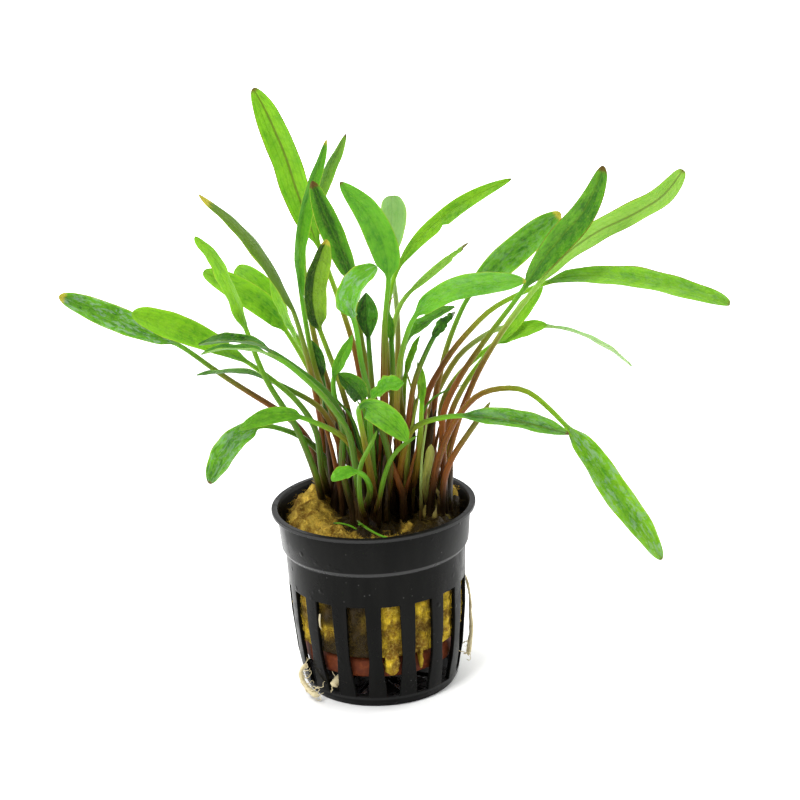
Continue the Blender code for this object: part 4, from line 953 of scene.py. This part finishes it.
def wetness_at(x, y, z):
    """How wet and dark the rockwool is: most between the crowns and in some slots."""
    if z < 40:
        direction = (from_front(x, y) - SLOT_TURN) * SLOTS / 360.0
        first = math.floor(direction)
        share = smooth_step(direction - first, 0.4, 0.6)
        damp = SLOT_WETNESS[first % SLOTS] * (1 - share) + SLOT_WETNESS[(first + 1) % SLOTS] * share
        return min(1.0, max(0.0, damp + 0.5 * noise.noise(Vector((x, y, z)) * 0.22)))
    near = min(math.hypot(x - crown_x, y - crown_y) - radius for crown_x, crown_y, radius in CROWNS.values())
    value = 1.0 - smooth_step(near, 1.5, 4.5)
    right_front = smooth_step(x - y, 12, 24) * 0.85
    dry = max(smooth_step(math.hypot(x - at_x, y - at_y), reach, 0.6 * reach) for at_x, at_y, reach in DRY_LUMPS)
    patchy = 0.35 * noise.noise(Vector((x, y, 0)) * 0.3) + 0.3 * noise.noise(Vector((x, y, z)) * 0.9)
    return min(1.0, max(0.0, (value + right_front) * (1 - dry) + 0.12 * dry + patchy))


def mark_wet(mesh):
    wet = mesh.attributes.new("wet", "FLOAT", "POINT")
    wet.data.foreach_set("value", [wetness_at(*(vert.co / MM)) for vert in mesh.vertices])


class PLANT_OT_rockwool(bpy.types.Operator):
    """Rockwool plug: a torn lumpy top, and sides that swell into the pot's slots"""
    bl_idname = "plant.rockwool"
    bl_label = "Rockwool plug"

    def execute(self, context):
        side = [14.2, 15.2] + [16.2 + 1.15 * step for step in range(19)]
        profile = [(0, 14.2), (10, 14.2), (16, 14.2)]
        profile += [(inside_radius(height) - 0.45, height) for height in side]
        profile += [(22.1, 39.5), (22.4, 41.5), (22.2, 42.6)]
        profile += [(22.0 - 1.0 * step, 43.0) for step in range(1, 22)] + [(0, 43.0)]
        builder = spun(profile, 176)
        for vert in builder.verts:
            x, y, z = vert.co / MM
            distance = math.hypot(x, y)
            place = Vector((x, y, z))
            if z > 42.9:
                vert.co = wool_surface(x, y) * MM
            elif distance > 15 and z > 14.3:
                direction = from_front(x, y)
                period = 360.0 / SLOTS
                off = abs(direction - SLOT_TURN - period * round((direction - SLOT_TURN) / period))
                opening = smooth_step(off * math.radians(distance), slot_half(z), slot_half(z) - 1.4)
                opening *= smooth_step(z, 30.0, 28.0)
                torn = noise.fractal(place * 0.5, 0.7, 2.1, 4)
                grown = distance + opening * (0.45 + 1.0 * torn) - (1 - opening) * 0.1 + 0.12 * torn
                grown = min(grown, inside_radius(z) + 0.9)
                vert.co.x *= grown / distance
                vert.co.y *= grown / distance
        plug = finish_piece("rockwool", builder, wool_material("rockwool", False), "wool", ("rockwool_plug",))
        mark_wet(plug.data)
        return {"FINISHED"}


class PLANT_OT_tuft(bpy.types.Operator):
    """Tufts of rockwool that hang down in two front slots, in front of the clay"""
    bl_idname = "plant.tuft"
    bl_label = "Hanging tufts"

    def execute(self, context):
        for number, (off, low, half) in enumerate(((0.0, 9.0, 1.75), (21.6, 9.6, 0.5)), 1):
            builder = bmesh.new()
            bmesh.ops.create_icosphere(builder, subdivisions=5, radius=1.0)
            turn = math.radians(SLOT_TURN + off)
            out, beside = Vector((math.sin(turn), -math.cos(turn), 0)), Vector((math.cos(turn), math.sin(turn), 0))
            for vert in builder.verts:
                x, y, z = vert.co
                place = Vector((x * half, y, z * (16.4 - low) / 2)) * 1.0
                torn = 1 + 0.22 * noise.fractal(place * 0.7 + Vector((number * 5, 0, 0)), 0.8, 2.1, 4)
                height = (16.4 + low) / 2 + z * (16.4 - low) / 2
                squared = (1 - abs(z) ** 4) ** 0.5 if abs(z) < 1 else 0.0
                along = math.copysign(min(abs(x) * 1.25, squared), x) * half * torn
                depth = (0.35 if height > 14 else 0.0) + 20.7 + 0.85 * y * torn
                vert.co = (out * max(19.95, depth) + beside * along + Vector((0, 0, height))) * MM
            tuft = finish_piece("rockwool_tuft_%d" % number, builder, wool_material("rockwool tuft", False), "wool")
            mark_wet(tuft.data)
        return {"FINISHED"}


def thread_object(name, threads, radius, paint, slot, roundness=0):
    """One mesh of many short bent threads, each a closed thin tube."""
    curve = bpy.data.curves.new(name, "CURVE")
    curve.dimensions = "3D"
    curve.bevel_depth = radius
    curve.bevel_resolution = roundness
    curve.use_fill_caps = True
    for points, sizes in threads:
        spline = curve.splines.new("POLY")
        spline.points.add(len(points) - 1)
        for point, place, size in zip(spline.points, points, sizes):
            point.co = (*place, 1.0)
            point.radius = size
    holder = bpy.data.objects.new(name, curve)
    bpy.context.scene.collection.objects.link(holder)
    bpy.context.view_layer.update()
    mesh = bpy.data.meshes.new_from_object(holder.evaluated_get(bpy.context.evaluated_depsgraph_get()))
    bpy.data.objects.remove(holder)
    builder = bmesh.new()
    builder.from_mesh(mesh)
    bmesh.ops.remove_doubles(builder, verts=builder.verts, dist=1e-8)
    return finish_piece(name, builder, paint, slot)


class PLANT_OT_fibres(bpy.types.Operator):
    """Loose rockwool fibres on the plug's top and in the slots"""
    bl_idname = "plant.fibres"
    bl_label = "Rockwool fibres"

    def execute(self, context):
        chance = random.Random(5)
        count = settings().fibre_count
        threads = []
        while len(threads) < count:
            on_top = len(threads) < 0.55 * count
            if on_top:
                distance = 22.0 * math.sqrt(chance.random())
                turn = chance.uniform(0, 2 * math.pi)
                x, y = distance * math.cos(turn), distance * math.sin(turn)
                start = wool_surface(x, y)
                outward = Vector((chance.gauss(0, 0.35), chance.gauss(0, 0.35), 0.55)).normalized()
            else:
                direction = SLOT_TURN + 360.0 / SLOTS * chance.randrange(SLOTS)
                height = chance.uniform(15.0, 28.3)
                off = chance.uniform(-1, 1) * (slot_half(height) - 0.25)
                distance = inside_radius(height) + 0.15
                turn = math.radians(direction)
                outward = Vector((math.sin(turn), -math.cos(turn), 0))
                start = outward * distance + off * Vector((math.cos(turn), math.sin(turn), 0)) + Vector((0, 0, height))
            lie = Vector((chance.gauss(0, 1), chance.gauss(0, 1), chance.gauss(0, 1 if not on_top else 0.35)))
            lie = (lie - lie.dot(outward) * outward).normalized()
            length = chance.uniform(1.0, 2.6 if on_top else 2.0)
            curl = lie.cross(outward) * chance.uniform(-0.5, 0.5)
            arch = chance.uniform(0.15, 0.75) * (1.0 if on_top else 0.5)
            points = []
            for step in range(4):
                share = step / 3
                rise = arch * math.sin(math.pi * (0.15 + 0.7 * share)) - 0.15
                points.append((start + lie * length * (share - 0.5) + outward * rise + curl * share * share) * MM)
            if not on_top and any(abs(math.hypot(point.x, point.y)) > 23.4 * MM for point in points):
                continue
            size = chance.uniform(0.5, 1.1)
            threads.append((points, (size * 0.6, size, size, size * 0.5)))
        fibres = thread_object("rockwool_fibres", threads, settings().fibre_radius,
                               wool_material("rockwool fibre", True), "wool")
        mark_wet(fibres.data)
        return {"FINISHED"}


class PLANT_OT_crowns(bpy.types.Operator):
    """Crowns: short lumpy stocks that the leaf stalks grow from"""
    bl_idname = "plant.crowns"
    bl_label = "Crowns"

    def execute(self, context):
        paint = root_material("crown skin", (0.016, 0.009, 0.003), (0.05, 0.022, 0.006))
        pale = root_material("pale crown skin", (0.30, 0.24, 0.06), (0.16, 0.10, 0.02))
        for index, (name, (x, y, radius)) in enumerate(CROWNS.items()):
            profile = [(0, 37.0), (radius * 0.5, 37.2), (radius * 0.8, 38.2), (radius * 0.95, 40.5), (radius * 0.95, 43.5),
                       (radius * 0.84, 46.0), (radius * 0.66, 48.2), (radius * 0.48, 50.4), (radius * 0.28, 52.4),
                       (0, 53.4)]
            builder = spun(profile, 48)
            bmesh.ops.subdivide_edges(builder, edges=builder.edges, cuts=1, use_grid_fill=True)
            bmesh.ops.translate(builder, vec=(x * MM, y * MM, 0), verts=builder.verts)
            rough_up(builder, 0.55 * MM, 330, index)
            finish_piece("crown_stock_" + name, builder, pale if name == "right" else paint, "crown", ("crown_" + name,))
        return {"FINISHED"}


class PLANT_OT_sheaths(bpy.types.Operator):
    """Old dark leaf bases that stand close together on each crown"""
    bl_idname = "plant.sheaths"
    bl_label = "Old leaf bases"

    def execute(self, context):
        chance = random.Random(21)
        threads = []
        for name, (x, y, radius) in CROWNS.items():
            edge = name in ("left", "right")
            for _ in range(16 if edge else 34):
                turn = chance.uniform(0, 2 * math.pi)
                distance = radius * math.sqrt(chance.random()) * 0.85
                out = Vector((math.cos(turn), math.sin(turn), 0))
                start = Vector((x, y, 45.0)) + distance * out
                lean = (Vector((0.1 * distance / radius * out.x, 0.1 * distance / radius * out.y, 1.0))
                        - Vector((0.012 * (x - 3), 0.006 * y, 0))).normalized()
                length = chance.uniform(4.0, 9.0) if edge else chance.uniform(8.0, 20.0)
                bend = Vector((chance.gauss(0, 0.8), chance.gauss(0, 0.8), 0))
                points = [(start + lean * length * step / 5 + bend * (step / 5) ** 2) * MM for step in range(6)]
                threads.append((points, (1.45, 1.4, 1.25, 1.0, 0.7, 0.2)))
        paint = root_material("old leaf base", (0.020, 0.010, 0.003), (0.075, 0.045, 0.008))
        thread_object("old_leaf_bases", threads, 0.55 * MM, paint, "crown", 2)
        return {"FINISHED"}


class PLANT_OT_leaves(bpy.types.Operator):
    """Leaves: a stalk and a folded, wavy blade along each solid leaf"""
    bl_idname = "plant.leaves"
    bl_label = "Leaves"

    def execute(self, context):
        for index, (name, look) in enumerate(LEAVES.items()):
            route, neck, half = read_route(name, look["looks"])
            if route.total < 10 * MM:
                raise RuntimeError(name + " could not be followed to its tip")
            builder = bmesh.new()
            wrap_strand(builder, route, 66, 18, leaf_section(route, neck, half, look, index))
            paint = leaf_material(name.replace("_", " "), look, (route.total - neck) / MM, 2 * half / MM, index * 7.3)
            finish_piece(name + "_blade", builder, paint, frame_slot(name), (name,))
        return {"FINISHED"}


class PLANT_OT_stalks(bpy.types.Operator):
    """Stalks with no blade, and a young shoot"""
    bl_idname = "plant.stalks"
    bl_label = "Bare stalks"

    def execute(self, context):
        sizes = {"young_shoot": (0.95, 1.25), "petiole_cut": (0.85, 0.7)}
        for index, (name, (colour, brown_reach)) in enumerate(STALKS.items()):
            centres, _ = read_strand(name)
            centres = smoothed(centres, 5)
            route = Route(centres, [Vector((0.3, -1, 0.2)).normalized()] * len(centres))
            start, end = sizes.get(name, (0.72, 0.5))
            builder = bmesh.new()
            wrap_strand(builder, route, 26, 14, tube_section(route.total, 5 * MM, start, end))
            finish_piece(name + "_stalk", builder, stalk_material(name.replace("_", " "), colour, brown_reach, 400 + index,
                                                                       0.85 if name == "petiole_cut" else 0.3),
                         frame_slot(name), (name,))
        return {"FINISHED"}


class PLANT_OT_inner_stalks(bpy.types.Operator):
    """Slender green stalks and dark old ones that fill the middle of the plant"""
    bl_idname = "plant.inner_stalks"
    bl_label = "Inner stalks"

    def execute(self, context):
        paints = {kind: stalk_material("inner stalk " + kind, colour, 0.9 if kind == "brown" else 0.15, 300 + index,
                                      0.3 if kind in ("green", "yellow", "pale") else 0.85)
                  for index, (kind, colour) in enumerate(INNER_COLOURS.items())}
        for index, (kind, radius, points) in enumerate(INNER_STALKS):
            centres = smooth_points(points)
            route = Route(centres, [Vector((0.3, -1, 0.2)).normalized()] * len(centres))
            builder = bmesh.new()
            wrap_strand(builder, route, 30, 12, tube_section(route.total, 0.0, radius * 1.15, radius * 0.45))
            finish_piece("inner_stalk_%d" % (index + 1), builder, paints[kind], "olive" if kind == "brown" else "mid")
        return {"FINISHED"}


def smooth_points(points, steps=6):
    """Points in millimetres on a smooth curve through the given ones."""
    points = [Vector(point) * MM for point in points]
    padded = [2 * points[0] - points[1]] + points + [2 * points[-1] - points[-2]]
    route = [points[0]]
    for before, start, end, after in zip(padded, padded[1:], padded[2:], padded[3:]):
        for step in range(1, steps + 1):
            t = step / steps
            route.append(0.5 * (2 * start + (end - before) * t + (2 * before - 5 * start + 4 * end - after) * t * t
                                + (3 * start - before - 3 * end + after) * t ** 3))
    return route


class PLANT_OT_roots(bpy.types.Operator):
    """Roots: three thick ones outside the slots, and fine curling ones"""
    bl_idname = "plant.roots"
    bl_label = "Roots"

    def execute(self, context):
        cream = tuple(settings().root_colour)
        paint = root_material("root skin", cream, (0.42, 0.33, 0.16))
        for index, (name, (start, end, points)) in enumerate(ROOTS.items()):
            centres = smooth_points(points)
            route = Route(centres, [Vector((0.3, -0.6, 0.7)).normalized()] * len(centres))
            builder = bmesh.new()
            wrap_strand(builder, route, 48, 16, tube_section(route.total, 0.0, start, end))
            rough_up(builder, 0.22 * MM, 420, index + 3)
            finish_piece(name + "_skin", builder, paint, "root", (name,))
        chance = random.Random(11)
        strands = []
        starts = [(-19.6, -11.6, 8.2), (-20.6, -11.4, 6.8), (-20.9, -11.6, 5.4), (-19.6, -13.4, 4.0), (-18.2, -15.0, 3.4),
                  (-21.0, -10.6, 7.6), (22.6, -3.4, 6.4), (23.2, -1.6, 9.0), (-12.4, -15.6, 5.4), (-17.2, -15.8, 3.0)]
        for place in starts:
            for _ in range(3):
                walk = Vector(place)
                heading = Vector((chance.uniform(-1, 1), chance.uniform(-0.7, 0.2), chance.uniform(-0.8, 0.8))).normalized()
                points = [walk * MM]
                for _ in range(9):
                    heading = (heading + 0.75 * Vector((chance.gauss(0, 1), chance.gauss(0, 0.8), chance.gauss(0, 1)))).normalized()
                    reached = walk + heading * 0.55
                    if math.hypot(reached.x, reached.y) > 24.6 or reached.z < 0.6:
                        heading = -heading
                        reached = walk + heading * 0.55
                    walk = reached
                    points.append(walk * MM)
                strands.append((points, [1.0 - 0.06 * step for step in range(len(points))]))
        white = smooth_points(((-14.9, -14.6, 20.2), (-15.3, -15.6, 21.6), (-15.4, -16.0, 23.4), (-15.2, -15.8, 25.2)), 4)
        strands.append((white, [2.4] * len(white)))
        thread_object("fine_roots", strands, 0.14 * MM, root_material("fine root skin", (0.75, 0.66, 0.42), (0.5, 0.40, 0.2)),
                      "root")
        return {"FINISHED"}


class PLANT_OT_sprigs(bpy.types.Operator):
    """Short green sprigs that lie on the front of the rockwool"""
    bl_idname = "plant.sprigs"
    bl_label = "Sprigs on the rockwool"

    def execute(self, context):
        sprigs = [
            (((-4.6, -12.5, 49.2), (-2.6, -15.5, 48.4), (0.2, -18.4, 47.5), (3.0, -20.3, 46.9), (6.8, -21.6, 46.3)), 0.34),
            (((-10.6, -13.6, 49.0), (-8.6, -15.0, 49.4), (-6.2, -16.0, 49.0), (-4.4, -16.8, 48.2)), 0.28),
            (((-3.0, -14.2, 47.8), (-3.2, -15.6, 49.0), (-4.2, -17.0, 49.6)), 0.3),
        ]
        green = stalk_material("sprig green", (0.13, 0.40, 0.015), -0.6, 500, 0.0)
        for index, (points, radius) in enumerate(sprigs):
            centres = smooth_points(points)
            route = Route(centres, [Vector((0, -0.3, 1)).normalized()] * len(centres))
            part = bmesh.new()
            wrap_strand(part, route, 24, 10, tube_section(route.total, 0.0, radius, radius * 0.7))
            finish_piece("sprig_%d" % (index + 1), part, green, "bright")
        return {"FINISHED"}


class PLANT_OT_stage(bpy.types.Operator):
    """Pale floor, soft light and the camera"""
    bl_idname = "plant.stage"
    bl_label = "Stage"

    def execute(self, context):
        scene = context.scene
        builder = bmesh.new()
        bmesh.ops.create_grid(builder, x_segments=2, y_segments=2, size=3.0)
        mesh = bpy.data.meshes.new("floor")
        builder.to_mesh(mesh)
        builder.free()
        floor = bpy.data.objects.new("floor", mesh)
        scene.collection.objects.link(floor)
        paint, wires, shader = new_material("pale paper", 0.7, 0.2)
        grain = wires.noise(wires.place(), 300.0)
        x, y, _ = wires.split(wires.place())
        # The floor glows: painted light that lifts it out of the pot's shadow round the pot, none under the pot, and
        # brightens it towards the back.
        distance = wires.math("POWER", wires.math("ADD", wires.math("MULTIPLY", x, x), wires.math("MULTIPLY", y, y)), 0.5)
        near = wires.step(distance, 0.0205, 0.045, 0.0, 0.45)
        far = wires.math("MAXIMUM", near, wires.step(y, 0.05, 0.6, 0.0, 1.4))
        wires.feed(shader.inputs["Emission Color"], wires.join(far, far, far))
        shader.inputs["Emission Strength"].default_value = 1.0
        wires.feed(shader.inputs["Base Color"], wires.mix(grain, (0.93, 0.93, 0.93), (0.96, 0.96, 0.96)))
        mesh.materials.append(paint)

        world = bpy.data.worlds.new("soft tent")
        world.use_nodes = True
        wires = Wiring(world.node_tree)
        direction = wires.split(wires.node("ShaderNodeTexCoord").outputs["Generated"])
        behind = wires.step(direction[1], -0.55, 0.35, 0.08, 1.5)
        above = wires.step(direction[2], 0.25, 0.8, 0.0, 0.7)
        tent = wires.math("MAXIMUM", behind, above)
        seen = wires.node("ShaderNodeLightPath").outputs["Is Camera Ray"]
        background = world.node_tree.nodes["Background"]
        wires.feed(background.inputs["Color"], wires.mix(seen, wires.join(tent, tent, tent), (0.965, 0.965, 0.965)))
        scene.world = world
        for name, place, size, power in (("key", (-0.40, -0.60, 0.95), 0.3, 9.0),
                                         ("right", (0.62, 0.28, 0.30), 0.3, 2.2),
                                         ("left", (-0.70, 0.25, 0.30), 0.25, 1.5)):
            light = bpy.data.lights.new(name, "AREA")
            light.energy = power
            light.size = size
            lamp = bpy.data.objects.new(name, light)
            lamp.location = place
            lamp.rotation_euler = (Vector((0, 0, 0.07)) - Vector(place)).to_track_quat("-Z", "Y").to_euler()
            scene.collection.objects.link(lamp)
        scene.view_settings.view_transform = "Standard"

        tilt, turn, roll = math.radians(18.706), math.radians(0.782), math.radians(-2.787)
        ahead = Vector((math.sin(turn) * math.cos(tilt), math.cos(turn) * math.cos(tilt), -math.sin(tilt)))
        right = Vector((math.cos(turn), -math.sin(turn), 0))
        up = right.cross(ahead)
        across = math.cos(roll) * right + math.sin(roll) * up
        upward = -math.sin(roll) * right + math.cos(roll) * up
        camera = bpy.data.cameras.new("camera")
        camera.lens = 111.52
        camera.sensor_width = 36.0
        camera.clip_start = 0.01
        holder = bpy.data.objects.new("camera", camera)
        axes = Matrix((across, upward, -ahead)).transposed().to_4x4()
        holder.matrix_world = Matrix.Translation((0, -0.6, 0.27962)) @ axes
        scene.collection.objects.link(holder)
        scene.camera = holder
        return {"FINISHED"}


STEPS = (PLANT_OT_pot, PLANT_OT_clay_disc, PLANT_OT_rockwool, PLANT_OT_tuft, PLANT_OT_fibres, PLANT_OT_crowns,
         PLANT_OT_sheaths, PLANT_OT_leaves, PLANT_OT_stalks, PLANT_OT_inner_stalks, PLANT_OT_roots, PLANT_OT_sprigs, PLANT_OT_stage)


class PLANT_PT_panel(bpy.types.Panel):
    """Sidebar panel with the plant's steps"""
    bl_idname = "PLANT_PT_panel"
    bl_label = "Potted cryptocoryne"
    bl_space_type = "VIEW_3D"
    bl_region_type = "UI"
    bl_category = "Plant"

    def draw(self, context):
        for name in PlantSettings.__annotations__:
            self.layout.prop(context.scene.potted_plant, name)
        for step in STEPS:
            self.layout.operator(step.bl_idname)


def register():
    for item in (PlantSettings, *STEPS, PLANT_PT_panel):
        bpy.utils.register_class(item)
    bpy.types.Scene.potted_plant = PointerProperty(type=PlantSettings)


def unregister():
    del bpy.types.Scene.potted_plant
    for item in (PLANT_PT_panel, *reversed(STEPS), PlantSettings):
        bpy.utils.unregister_class(item)


def main():
    register()
    for step in STEPS:
        getattr(bpy.ops.plant, step.bl_idname.split(".")[1])()


if __name__ == "__main__":
    main()
